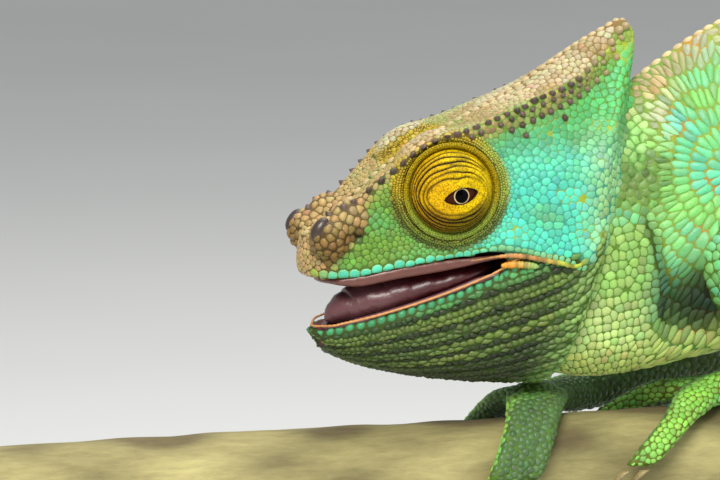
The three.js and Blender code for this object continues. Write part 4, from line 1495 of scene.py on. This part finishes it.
def lid_material():
    """Lid skin set with minute granules between its creases, with painted shade round each granule."""
    material, tree, bsdf = shader("lid_skin", Specular_IOR_Level=0.12)
    cells = node(tree, "ShaderNodeTexVoronoi", Scale=2900.0)
    link(tree, object_coords(tree), cells, "Vector")
    distance = cells.outputs["Distance"]
    # Painted shade: each granule is lighter at its middle and darker towards its edges.
    link(tree, times(tree, mesh_colour(tree), remapped(tree, distance, 1.25, 0.3)), bsdf, "Base Color")
    link(tree, remapped(tree, distance, 0.45, 0.7), bsdf, "Roughness")
    bumped(tree, bsdf, remapped(tree, distance, 1.0, 0.0), 0.6, 0.00025)
    return material


def bark_material():
    """Grey green bark, streaked along the branch."""
    material, tree, bsdf = shader("bark")
    streaks = noise(tree, 700.0, 6.0, 0.65, drawn_out=(0.25, 1, 1))
    link(tree, times(tree, mesh_colour(tree), remapped(tree, streaks, 0.55, 1.4)), bsdf, "Base Color")
    link(tree, remapped(tree, streaks, 0.95, 0.7), bsdf, "Roughness")
    bumped(tree, bsdf, streaks, 0.7, 0.0006)
    return material


def wood_material():
    """Dark stained hardwood with a fine grain along the base."""
    material, tree, bsdf = shader("stained_wood", Coat_Weight=0.15, Coat_Roughness=0.3)
    grain = noise(tree, 420.0, 8.0, 0.6, drawn_out=(0.08, 1, 1))
    link(tree, ramped(tree, grain, STAIN_DARK, STAIN_WARM), bsdf, "Base Color")
    link(tree, remapped(tree, grain, 0.3, 0.5), bsdf, "Roughness")
    bumped(tree, bsdf, grain, 0.25, 0.0003)
    return material


def steel_material():
    """Steel brushed round the rods."""
    material, tree, bsdf = shader("brushed_steel", Metallic=1.0)
    brush = noise(tree, 300.0, 3.0, 0.5, drawn_out=(1, 1, 12))
    link(tree, ramped(tree, brush, STEEL_DARK, STEEL_PALE), bsdf, "Base Color")
    link(tree, remapped(tree, brush, 0.25, 0.42), bsdf, "Roughness")
    return material


# ---- Eyes ----
APERTURE = dict(rear=1.4, drop=0.72, half_length=4.3, half_height=1.92, tilt=0.22)
SLIT_WALL = ((7.75, 1.05), (7.95, 0.985), (8.12, 0.97))  # radius in the slit, and how wide the slit is there
LID_COLLAR = dict(inner=8.9, outer=10.25, top=9.7, rise=3.0, granule=0.42)
CREASE_RADIUS = 8.95
CREASES = (  # share of the way from slit to rim: rearward, above, forward and below, then strength
    (0.30, 0.22, 0.42, 0.24, 0.6), (0.43, 0.33, 0.54, 0.37, 0.8), (0.57, 0.45, 0.65, 0.49, 0.9),
    (0.70, 0.58, 0.75, 0.62, 0.95), (0.81, 0.71, 0.85, 0.75, 0.95), (0.91, 0.86, 0.93, 0.88, 1.0),
)


def eye_direction(side, rear, rise):
    """Unit vectors from an eye's centre, from arc distances along the head and up, at the lid's radius."""
    _, along, up, out = eye_axes(side)
    distance = np.hypot(rear, rise)
    angle = distance / LID_RADIUS
    flat = rearward(along) * rear[..., None] + up * rise[..., None]
    flat = flat / np.maximum(distance, 1e-6)[..., None]
    return out * np.cos(angle)[..., None] + flat * np.sin(angle)[..., None]


def crease_depth(share, turn):
    """Creases of the fused eyelids, 0 to 1, at a share of the way from slit to rim and an angle round it."""
    rearward_part, upward_part = np.cos(turn), np.sin(turn)
    along, across = rearward_part**2, upward_part**2
    depth = np.zeros_like(turn)
    for i, (rear, above, fore, below, strength) in enumerate(CREASES):
        place = np.where(rearward_part > 0, rear, fore) * along
        place = place + np.where(upward_part > 0, above, below) * across
        place = place + 0.012 * np.sin(3 * turn + 2.1 * i) + 0.008 * np.sin(7 * turn + 1.7 * i)
        gone = np.abs(share - place) / (1 + 0.4 * smooth(0, -0.6, upward_part))
        keep = strength * (0.8 + 0.2 * np.sin(turn + 1.9 * i)) * (1 - 0.55 * smooth(0.5, 0.95, rearward_part))
        section = 0.75 * np.exp(-((gone / 0.021) ** 2)) + 0.25 * np.exp(-((gone / 0.05) ** 2))
        depth = np.maximum(depth, keep * section)
    return depth


def lid_colours(share, turn, depth, points):
    """Bright gold lids, more orange ahead of the slit and olive in places, with painted shade on the lower
    half, in the creases, at the slit's edge and at the rim.
    """
    gold = spread(GOLD, points)
    mottled = 0.1 + 0.4 * waves(points, size=1.3, seed=21) + 0.15 * smooth(0.3, 1, share)
    gold = blend(gold, OLIVE_GOLD, mottled)
    # Painted shade: darker olive on the lower half of the lid.
    gold = blend(gold, OLIVE_GOLD * 0.6, 0.75 * smooth(0.1, -0.8, np.sin(turn)) * smooth(0.15, 0.4, share))
    gold = blend(gold, LID_ORANGE, 0.4 * smooth(0.1, -0.9, np.cos(turn)))
    # Painted shade in the creases.
    gold = blend(gold, LID_CREASE_SHADE, np.clip(1.7 * depth, 0, 1))
    # Painted shade at the edge of the slit.
    gold = blend(gold, LID_EDGE_SHADE, smooth(0.02, 0.0, share))
    # Painted shade in the crevice at the rim.
    return blend(gold, LID_RIM_SHADE, smooth(0.975, 1.0, share))


def lid_cone(side, turn):
    """Rings and colours of the fused lids, from inside the slit out to the rim of the cone."""
    centre = eye_axes(side)[0]
    slit = ((np.abs(np.cos(turn)) / APERTURE["half_length"]) ** 1.6
            + (np.abs(np.sin(turn)) / APERTURE["half_height"]) ** 1.6) ** (-1 / 1.6)
    rings, tints = [], []

    def add_ring(reach, shift, radius):
        turned = turn + APERTURE["tilt"] * shift
        way = eye_direction(side, shift * APERTURE["rear"] + reach * np.cos(turned),
                            reach * np.sin(turned) - shift * APERTURE["drop"])
        rings.append(centre + way * np.broadcast_to(radius, turn.shape)[:, None])

    for radius, widen in SLIT_WALL:
        add_ring(widen * slit, 1, radius)
        # Painted shade on the walls inside the slit.
        tints.append(spread(LID_INSIDE_SHADE, turn))
    rim = LID_RADIUS * math.asin(CREASE_RADIUS / LID_RADIUS)
    for share in np.linspace(0, 1, 100):
        depth = crease_depth(share, turn)
        radius = mix(8.3, 9.05, float(smooth(0, 0.4, share))) - 0.42 * depth
        add_ring(mix(slit, rim, share), 1 - share, radius - 0.2 * float(smooth(0.965, 1.0, share)))
        tints.append(lid_colours(np.full_like(turn, share), turn, depth, rings[-1]))
    return rings, tints


def lid_collar(side, turn):
    """Rings and colours of the granular collar that closes the lids on the ring of skin."""
    centre, along, up, out = eye_axes(side)
    flat = rearward(along) * np.cos(turn)[:, None] + up * np.sin(turn)[:, None]
    lit = blend(spread(OLIVE_GOLD * 1.6, turn), LIME * 1.15, smooth(0.2, -0.9, np.sin(turn)))
    inner, granule = LID_COLLAR["inner"], LID_COLLAR["granule"]
    rings, tints = [], []
    for radius in np.linspace(inner, LID_COLLAR["outer"], 17):
        staggered = 57 * turn + np.pi * np.round((radius - inner) / granule)
        grain = np.cos(staggered) * np.cos(np.pi * (radius - inner) / granule)
        fall = 0.9 * (abs(radius - LID_COLLAR["top"]) / 0.8) ** 2.5
        rise = LID_COLLAR["rise"] - fall + 0.09 * np.abs(grain)
        rings.append(centre + flat * radius + out * rise[:, None])
        # Painted shade: darker between the granules, and dark in the crevice at the collar's inner edge.
        shade = (0.45 + 0.75 * np.abs(grain)) * float(smooth(8.75, 9.0, radius))
        tints.append(np.clip(lit * shade[:, None], 0, 1))
    return rings, tints


def build_eyelid(side, tag, material):
    """The turret: fused lids creased in ovals round the slit, with a collar that closes on the ring."""
    turn = circle(400)
    cone, cone_tints = lid_cone(side, turn)
    collar, collar_tints = lid_collar(side, turn)
    rings = np.array(cone + collar)
    quads = ring_quads(*rings.shape[:2])
    if side == LEFT:
        quads = quads[:, ::-1]
    tints = np.array(cone_tints + collar_tints)
    lid = make_object(f"lid_{tag}", rings.reshape(-1, 3), quads, material, tints.reshape(-1, 3))
    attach(lid, "root")
    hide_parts(f"eyelid_{tag}")


EYEBALL_STEPS = (  # distances from the middle of the pupil, close together where the colour changes
    0.01, 0.5, 1.0, 1.35, 1.44, 1.47, 1.52, 1.62, 1.66, 1.72, 2.2, 2.8, 3.4, 4.2, 5.4)


def with_ends(tints):
    """Colours per ring point, with those of the centre points at both ends of a loft added."""
    return np.vstack([tints, tints[:1], tints[-1:]])


def build_eyeball(side, tag, material):
    """The eyeball with its round pupil, thin pale ring and dark brown iris."""
    centre = eye_axes(side)[0]
    pole = eye_direction(side, np.array([APERTURE["rear"]]), np.array([-APERTURE["drop"]]))[0]
    spare = unit(np.cross(pole, (0, 0, 1)))
    up = np.cross(spare, pole)
    turn = circle(72)
    ring = spare * np.cos(turn)[:, None] + up * np.sin(turn)[:, None]
    rings, tints = [], []
    for arc in np.concatenate([np.array(EYEBALL_STEPS) / BALL_RADIUS, np.linspace(0.85, 2.9, 16)]):
        radius = BALL_RADIUS + 0.18 * math.exp(-((arc / 0.3) ** 2))
        rings.append(centre + radius * (pole * math.cos(arc) + ring * math.sin(arc)))
        from_middle = arc * BALL_RADIUS
        colour = mix(PUPIL, IRIS, smooth(1.4, 1.47, from_middle))
        pale = smooth(1.43, 1.5, from_middle) * smooth(1.7, 1.63, from_middle)
        tints.append(spread(mix(colour, IRIS_RING, pale), turn))
    ball = make_object(f"eye_{tag}", *closed_loft(rings), material, with_ends(np.vstack(tints)))
    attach(ball, "root")
    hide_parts(f"eyeball_{tag}")


# ---- Mouth ----
def build_tube_piece(name, points, wide, high, colours, material, count=20):
    """A solid tube piece along a path, with its colour per station."""
    rings = tube_rings(points, np.gradient(points, axis=0), (0, 0, 1), high, wide, count)
    tints = with_ends(np.repeat(colours, count, axis=0))
    piece = make_object(name, *closed_loft(rings), material, tints)
    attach(piece, "root")
    return piece


def lip_path(width, height, inset, front, rear, drop, steps=120):
    """A path round the mouth from the left corner over the snout to the right corner."""
    half = np.linspace(0, 1, steps)
    x = front + (rear - front) * half**1.8
    y = np.maximum(width(x) - inset, 0) * np.sqrt(smooth(front - 0.6, front + 3.0, x))
    z = height(x) + drop(x)
    right = np.column_stack([x, y, z])
    left = np.column_stack([x, -y, z])[::-1]
    return np.vstack([left[:-1], right])


tongue_top = profile((-24.5, -24.4), (-20, -21.4), (-10, -18), (0, -16), (12.5, -14))


def rounded_ends(x, middle, half, power):
    """Full size along most of a piece, drawn in round both of its ends."""
    return np.sqrt(np.clip(1 - ((x - middle) / half) ** power, 0.02, 1))


def build_gums(wet):
    """Gums inside both lips."""
    path = lip_path(lip_width, upper_lip, inset=1.9, front=-25.8, rear=12.0,
                    drop=lambda x: -0.5 + 0.5 * smooth(-17, -25, x))
    x = path[:, 0]
    wide = 0.7 * np.ones(len(x))
    high = 0.85 * smooth(12.5, -4, x) * (0.3 + 0.7 * smooth(-26, -19, x)) + 0.35
    build_tube_piece("gum_upper", path, wide, high, spread(MOUTH_PINK, path), wet)
    path = lip_path(jaw_width, lower_lip, inset=2.4, front=-24.5, rear=11.0, drop=lambda x: -1.8)
    x = path[:, 0]
    high = 1.1 * smooth(12.0, 5, x) * smooth(-25, -19, x) + 0.3
    build_tube_piece("gum_lower", path, wide, high, spread(GUM * 0.7, path), wet)


def build_lip_line(material):
    """The orange rim of the lower lip."""
    path = lip_path(jaw_width, lower_lip, inset=0.45, front=-27.2, rear=13.5,
                    drop=lambda x: -0.5 * smooth(13, 8, x))
    beaded = 0.24 + 0.05 * np.sin(np.arange(len(path)) * 1.7)
    build_tube_piece("lip_line", path, beaded, beaded, spread(LIP, path), material, count=12)


def build_lip_seam(side, tag, material):
    """The beaded edge of the upper lip, which runs on behind the corner of the mouth."""
    x = np.linspace(3, 28.0, 110)
    beads = (1 + 0.12 * np.sin(np.arange(len(x)) * 1.4)) * rounded_ends(x, 15.5, 12.8, 6)
    height = upper_lip(x) - 0.1 + 0.13 * np.maximum(0, x - 23.4) ** 2
    path = np.column_stack([x, side * (lip_width(x) - 0.05), height])
    tint = mix(LIP, YELLOW_GREEN * 1.3, smooth(16, 25, x)[:, None])
    tint = blend(tint, BROWN * 0.7, 0.35 + 0.5 * waves(path, size=1.2, seed=31))
    high = (0.2 + 0.32 * smooth(6, 13, x)) * beads
    build_tube_piece(f"lip_seam_{tag}", path, 0.4 * beads, high, tint, material, count=12)


def build_lip_fold(side, tag, material):
    """The fold of skin just under the corner of the mouth."""
    x = np.linspace(9.4, 17.5, 60)
    beads = (1 + 0.1 * np.sin(np.arange(len(x)) * 1.2)) * rounded_ends(x, 13.4, 4.15, 4)
    path = np.column_stack([x, side * (lip_width(x) + 0.1), upper_lip(x) - 1.9 + 0.05 * (x - 14)])
    tint = mix(LIP_CORNER, COLLAR, smooth(11, 17, x)[:, None])
    tint = blend(tint, BROWN * 0.7, 0.2 + 0.4 * waves(path, size=1.0, seed=32))
    build_tube_piece(f"lip_fold_{tag}", path, 0.6 * beads, 0.75 * beads, tint, material, count=14)


def build_tongue(wet):
    """The fleshy tongue, which fills the floor of the mouth."""
    x = np.linspace(-24.5, 12.5, 60)
    top = tongue_top(x) + 0.25 * np.sin(x * 1.1) + 0.15 * np.sin(x * 2.7)
    low = np.minimum(lower_lip(x), upper_lip(x)) - 3.2
    wide = np.minimum(lip_width(x), jaw_width(x)) - 2.9
    ends = rounded_ends(x, -6, 18.6, 4)
    path = np.column_stack([x, np.zeros_like(x), (top + low) / 2])
    # Painted shade: the tongue darkens towards the back of the mouth.
    tint = mix(GUM * 0.75, SHADED_MAROON * 1.1, smooth(-18, -4, x)[:, None])
    high = (top - low) / 2 * ends
    tongue = build_tube_piece("tongue_flesh", path, wide * ends, high, tint, wet, count=40)
    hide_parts("tongue")


def build_mouth(wet, lip_material):
    """Gums, tongue, lips, and the folds at the corners of the mouth."""
    build_gums(wet)
    build_lip_line(lip_material)
    for side, tag in SIDES_AND_TAGS:
        build_lip_seam(side, tag, lip_material)
        build_lip_fold(side, tag, lip_material)
    build_tongue(wet)


def joined_lofts(lofts):
    """Points and triangles of several closed lofts as one mesh."""
    points, faces, first = [], [], 0
    for rings in lofts:
        grid, triangles = closed_loft(rings)
        points.append(grid)
        faces.append(triangles + first)
        first += len(grid)
    return np.vstack(points), np.vstack(faces)


def wart_rings(side):
    """The large smooth dark scale on the upper front of a lobe of the snout."""
    turn = circle(28)
    oval = np.column_stack([1.9 * np.cos(turn), 1.5 * np.sin(turn), np.zeros_like(turn)])
    rings = []
    for angle in np.linspace(0.06, math.pi - 0.06, 22):
        centre = (0.9 * math.cos(angle), 0, 2.5 * math.cos(angle))
        rings.append((-28.4, side * 8.5, -7.6) + oval * math.sin(angle) + centre)
    return rings


def build_warts(material):
    """The warts of both lobes as one piece."""
    points, faces = joined_lofts([wart_rings(side) for side in (LEFT, RIGHT)])
    warts = make_object("snout_warts", points, faces, material, spread(UMBER * 0.7, points))
    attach(warts, "root")


# ---- Claws ----
CLAW_STATIONS = np.linspace(-0.12, 1, 14)
CLAW_SIDES = 12


def claw_rings(limb, i, count, toward):
    """A claw, hooked against the bark beyond its digit."""
    across_at, to = digit_line(limb, i, count)
    around = math.hypot(BRANCH_RADIUS + DIGIT["tip"], limb["lean"])
    turn = circle(CLAW_SIDES)
    rings = []
    for u in CLAW_STATIONS:
        angle = to + 0.3 / around + u * CLAW["length"] / around
        thick = mix(CLAW["base"], CLAW["tip"], max(u, 0) ** 0.8) * (0.5 if u == 1 else 1)
        lift = mix(DIGIT["tip"] + DIGIT["clear"], 0.9, max(u, 0) ** 2)
        across = across_at(angle) + 0.72 * thick * np.cos(turn)
        rings.append(bark_point(limb, toward, angle, across, lift + thick * np.sin(turn)))
    return rings


def build_claws(material):
    """All claws as one piece, paler at the root."""
    lofts = [claw_rings(limb, i, count, toward)
             for limb in LIMBS for count, toward in bundles(limb) for i in range(count)]
    shade = mix(CLAW_PALE, CLAW_DARK, smooth(0, 0.8, CLAW_STATIONS)[:, None])
    tints = np.tile(with_ends(np.repeat(shade, CLAW_SIDES, axis=0)), (len(lofts), 1))
    claws = make_object("claws", *joined_lofts(lofts), material, tints)
    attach(claws, "root")
    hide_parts(*[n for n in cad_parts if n.startswith("claw")])


# ---- Perch and stand ----
def build_perch(material):
    """The cut branch: knotty round wood with a flat sawn face at each end."""
    x = np.linspace(BRANCH_FRONT, BRANCH_REAR, 260)
    grid_x, grid_a = np.meshgrid(x, circle(120), indexing="ij")
    knot = 0.35 * np.sin(3 * grid_a + grid_x / 23) + 0.3 * np.sin(2 * grid_a - grid_x / 37)
    radius = BRANCH_RADIUS + np.minimum(0, knot - 0.3) - 0.15
    flat = np.column_stack([grid_x.ravel(), (8 * np.cos(grid_a)).ravel(), (8 * np.sin(grid_a)).ravel()])
    radius -= 0.16 * (1 + waves(flat * [0.25, 1, 1], size=2.2, seed=11)).reshape(radius.shape)
    rings = np.stack([grid_x, radius * np.cos(grid_a), BRANCH_Z + radius * np.sin(grid_a)], -1)
    bevel = np.ones(len(x))
    bevel[[0, -1]] = 0.96
    middle = np.array([0, 0, BRANCH_Z])
    rings[..., 1:] = (rings - middle)[..., 1:] * bevel[:, None, None] + middle[1:]
    tone = 0.5 + 0.5 * waves(with_ends(flat) * [0.3, 1, 1], size=5.0, seed=12)
    tint = mix(BARK, BARK_PALE, np.clip(tone, 0, 1)[:, None])
    tint = blend(tint, BARK_DARK, smooth(0.7, 1.0, 1 - tone) * 0.7)
    tint[-2:] = SAWN_WOOD
    perch = make_object("perch", *closed_loft(rings), material, tint)
    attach(perch, "root")
    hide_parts("perch_branch")


BASE = dict(half_x=125, half_y=60, corner=18)
BASE_SECTION = (  # height, and how far the edge is drawn in
    (0.0, 1.0), (0.6, 0.3), (1.2, 0.0), (9.4, 0.0), (10.6, 0.35), (11.5, 1.1), (11.95, 2.3))
ROD_TOP = EYE_LINE[2] + BRANCH_Z - BRANCH_RADIUS
ROD_SECTION = (  # height and radius, with a collar on the base
    (11.8, 8.0), (13.2, 8.0), (13.9, 7.4), (14.4, 5.4), (14.9, 4.95),
    (ROD_TOP + 1.0, 4.95), (ROD_TOP + 1.2, 4.6))
RODS = (("front", -48.0), ("rear", 52.0))


def stand_outline(inset, steps=14):
    """The base's rounded rectangle, drawn in by inset."""
    half_x, half_y, corner = BASE["half_x"] - inset, BASE["half_y"] - inset, BASE["corner"] - inset
    outline = []
    for sx, sy, quarter in ((1, 1, 0), (-1, 1, 1), (-1, -1, 2), (1, -1, 3)):
        angles = (quarter + np.linspace(0, 1, steps)) * math.pi / 2
        x = sx * (half_x - corner) + corner * np.cos(angles)
        y = sy * (half_y - corner) + corner * np.sin(angles)
        outline.append(np.column_stack([x, y]))
    return np.vstack(outline)


def build_stand(wood, steel):
    """A flat base with rounded edges, and two rods that rise from collars into the perch."""
    rings = []
    for z, inset in BASE_SECTION:
        outline = stand_outline(inset)
        rings.append(np.column_stack([outline, np.full(len(outline), z)]) - EYE_LINE)
    base = make_object("base", *closed_loft(rings), wood)
    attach(base, "root")
    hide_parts("stand_base")
    turn = circle(64)
    for name, x in RODS:
        rings = [np.column_stack([x + r * np.cos(turn), r * np.sin(turn), np.full(len(turn), z)]) - EYE_LINE
                 for z, r in ROD_SECTION]
        rod = make_object(f"rod_{name}", *closed_loft(rings), steel)
        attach(rod, "root")
        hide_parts(f"stand_rod_{name}")


# ---- The scene ----
FLESH = [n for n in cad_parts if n.startswith((
    "head", "lower_jaw", "rostral", "neck", "trunk", "tail", "upper_arm", "forearm", "hand", "thigh", "shin",
    "foot"))]


def build_skin(surface, parts, material):
    """The one skin of the animal, in the colours that show between its scales."""
    points, region = surface.points, surface.region
    share = tail_shares(points, region)
    phase, _ = row_phase(points, region, share)
    _, between = colours_at(points, surface.normals, region, share, phase, limb_side(parts, points))
    skin = make_object("skin", points, surface.quads, material, between)
    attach(skin, "root")
    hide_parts(*FLESH)
    return skin


def unwrap(obj):
    """An unwrap of the skin's own shape, named OFBake."""
    bpy.context.view_layer.objects.active = obj
    obj.select_set(True)
    obj.data.uv_layers.new(name="OFBake")
    bpy.ops.object.mode_set(mode="EDIT")
    bpy.ops.mesh.select_all(action="SELECT")
    bpy.ops.uv.smart_project(angle_limit=math.radians(66), island_margin=0.002)
    bpy.ops.object.mode_set(mode="OBJECT")
    obj.select_set(False)


def uv_at(obj, surface, places):
    """The skin's own unwrap at places on it."""
    loops = np.zeros(len(obj.data.loops) * 2, np.float32)
    obj.data.uv_layers["OFBake"].data.foreach_get("uv", loops)
    loops = loops.reshape(-1, 4, 2)
    found = [surface.tree.find_nearest(p) for p in places.tolist()]
    face = np.array([f[2] for f in found], int) % len(loops)
    corners = surface.points[surface.quads[face]]
    weight = 1 / (np.linalg.norm(corners - places[:, None], axis=-1) + 1e-3)
    weight /= weight.sum(-1, keepdims=True)
    return (loops[face] * weight[..., None]).sum(1)


CAMERA = dict(azimuth=-19, elevation=7, distance=850, behind_eye=19.53, below_eye=10.5, field=151.2)
SENSOR_WIDTH = 36


def add_camera():
    """A close view of the head, from a little above and ahead of its left side."""
    azimuth, elevation = math.radians(CAMERA["azimuth"]), math.radians(CAMERA["elevation"])
    right = np.array([math.cos(azimuth), math.sin(azimuth), 0])
    back = np.array([math.sin(azimuth) * math.cos(elevation), -math.cos(azimuth) * math.cos(elevation),
                     math.sin(elevation)])
    up = np.cross(back, right)
    eye = EYE_LINE + np.array([0, -EYE_SIDE, 0])
    target = eye - right * CAMERA["behind_eye"] - up * CAMERA["below_eye"]
    data = bpy.data.cameras.new("camera")
    data.sensor_width = SENSOR_WIDTH
    data.lens = SENSOR_WIDTH * CAMERA["distance"] / CAMERA["field"]
    data.clip_start, data.clip_end = 0.01, 20
    camera = bpy.data.objects.new("camera", data)
    camera.location = (target + back * CAMERA["distance"]) / 1000
    camera.rotation_euler = Vector(-back).to_track_quat("-Z", "Y").to_euler()
    bpy.context.scene.collection.objects.link(camera)
    bpy.context.scene.camera = camera


LIGHTS = (  # name, place, aim, size, power and colour
    ("key", (-0.5, -0.75, 0.95), (-0.1, 0, 0.13), 0.5, 15, (1, 0.97, 0.92)),
    ("top", (0.15, 0.2, 1.1), (0, 0, 0.12), 0.8, 8, (1, 1, 1)),
    ("fill", (0.7, -0.9, 0.35), (0, 0, 0.12), 0.9, 2.5, (0.95, 0.98, 1)),
)
FLOOR_HALF = 6


def area_light(name, place, aim, size, power, colour):
    """A square light, turned from its place towards its aim."""
    data = bpy.data.lights.new(name, "AREA")
    data.size, data.energy, data.color = size, power, colour
    light = bpy.data.objects.new(name, data)
    light.location = place
    light.rotation_euler = (Vector(aim) - Vector(place)).to_track_quat("-Z", "Y").to_euler()
    bpy.context.scene.collection.objects.link(light)


def add_floor():
    """A wide pale floor, which isn't part of the object."""
    mesh = bpy.data.meshes.new("floor")
    corners = [(x * FLOOR_HALF, y * FLOOR_HALF, 0) for x, y in ((-1, -1), (1, -1), (1, 1), (-1, 1))]
    mesh.from_pydata(corners, [], [(0, 1, 2, 3)])
    floor = bpy.data.objects.new("floor", mesh)
    bpy.context.scene.collection.objects.link(floor)
    material, tree, bsdf = shader("floor_matt", roughness=0.9)
    link(tree, ramped(tree, noise(tree, 3.0), FLOOR_DARK, FLOOR_PALE), bsdf, "Base Color")
    mesh.materials.append(material)


def add_studio():
    """A pale floor under a soft sky, with three lights."""
    add_floor()
    world = bpy.data.worlds.new("studio")
    bpy.context.scene.world = world
    world.use_nodes = True
    sky = world.node_tree.nodes["Background"]
    sky.inputs["Color"].default_value = (*SKY, 1)
    sky.inputs["Strength"].default_value = 0.5
    for light in LIGHTS:
        area_light(*light)
    bpy.context.scene.view_settings.view_transform = "Standard"


def build_small_pieces():
    """Eyes, mouth, warts, claws, perch and stand."""
    lid = lid_material()
    gloss = painted_material("eye_gloss", (0.04, 0.1), grain=2500.0, bump=0.0, Specular_IOR_Level=0.05)
    for side, tag in SIDES_AND_TAGS:
        build_eyelid(side, tag, lid)
        build_eyeball(side, tag, gloss)
    wet = painted_material("wet_flesh", (0.3, 0.5), grain=700.0, bump=1.0,
                           Coat_Weight=0.25, Coat_Roughness=0.15)
    build_mouth(wet, painted_material("lip_skin", (0.35, 0.5), grain=1500.0, bump=0.3))
    build_warts(painted_material("dark_scale", (0.25, 0.4), grain=900.0, bump=0.15, Specular_IOR_Level=0.5))
    build_claws(painted_material("claw_horn", (0.2, 0.35), grain=1200.0, bump=0.1))
    build_perch(bark_material())
    build_stand(wood_material(), steel_material())


def build_coat(surface, parts, skin):
    """The scales, in pieces by region and side."""
    material = painted_material("scale", (0.32, 0.52), grain=2600.0, bump=0.35, Specular_IOR_Level=0.45)
    sites = dressed_sites(surface, parts)
    domes, reach_uv = scale_meshes(surface, sites)
    root_uv = uv_at(skin, surface, sites["points"])
    region, left = sites["region"], sites["points"][:, 1] < 0
    for label, which in {
        "scales_head_left": (region == HEAD) & left,
        "scales_head_right": (region == HEAD) & ~left,
        "scales_snout": region == PROCESS,
        "scales_eye_rings": region == RING,
        "scales_jaw": region == JAW,
        "scales_trunk_left": (region == BODY) & left,
        "scales_trunk_right": (region == BODY) & ~left,
        "scales_tail": region == TAIL,
        "scales_limbs": region == ARM,
        "scales_feet": region == HAND,
    }.items():
        add_scales(label, which, domes, reach_uv, sites, root_uv, material)


parts = animal_fields()
solid = softened(joined_field(parts) + COAT_DEPTH)
skin_points, skin_quads = surface_of(solid)
skin_region = regions_at(parts, skin_points)
inward = point_normals(skin_points, halved(skin_quads)) * -fold_depth(skin_points, skin_region)[:, None]
surface = Surface(skin_points + inward, skin_quads, skin_region)
skin_material = painted_material("skin_between", (0.5, 0.75), grain=1800.0, bump=0.5, Specular_IOR_Level=0.3)
skin = build_skin(surface, parts, skin_material)
unwrap(skin)
build_small_pieces()
build_coat(surface, parts, skin)
add_camera()
add_studio()
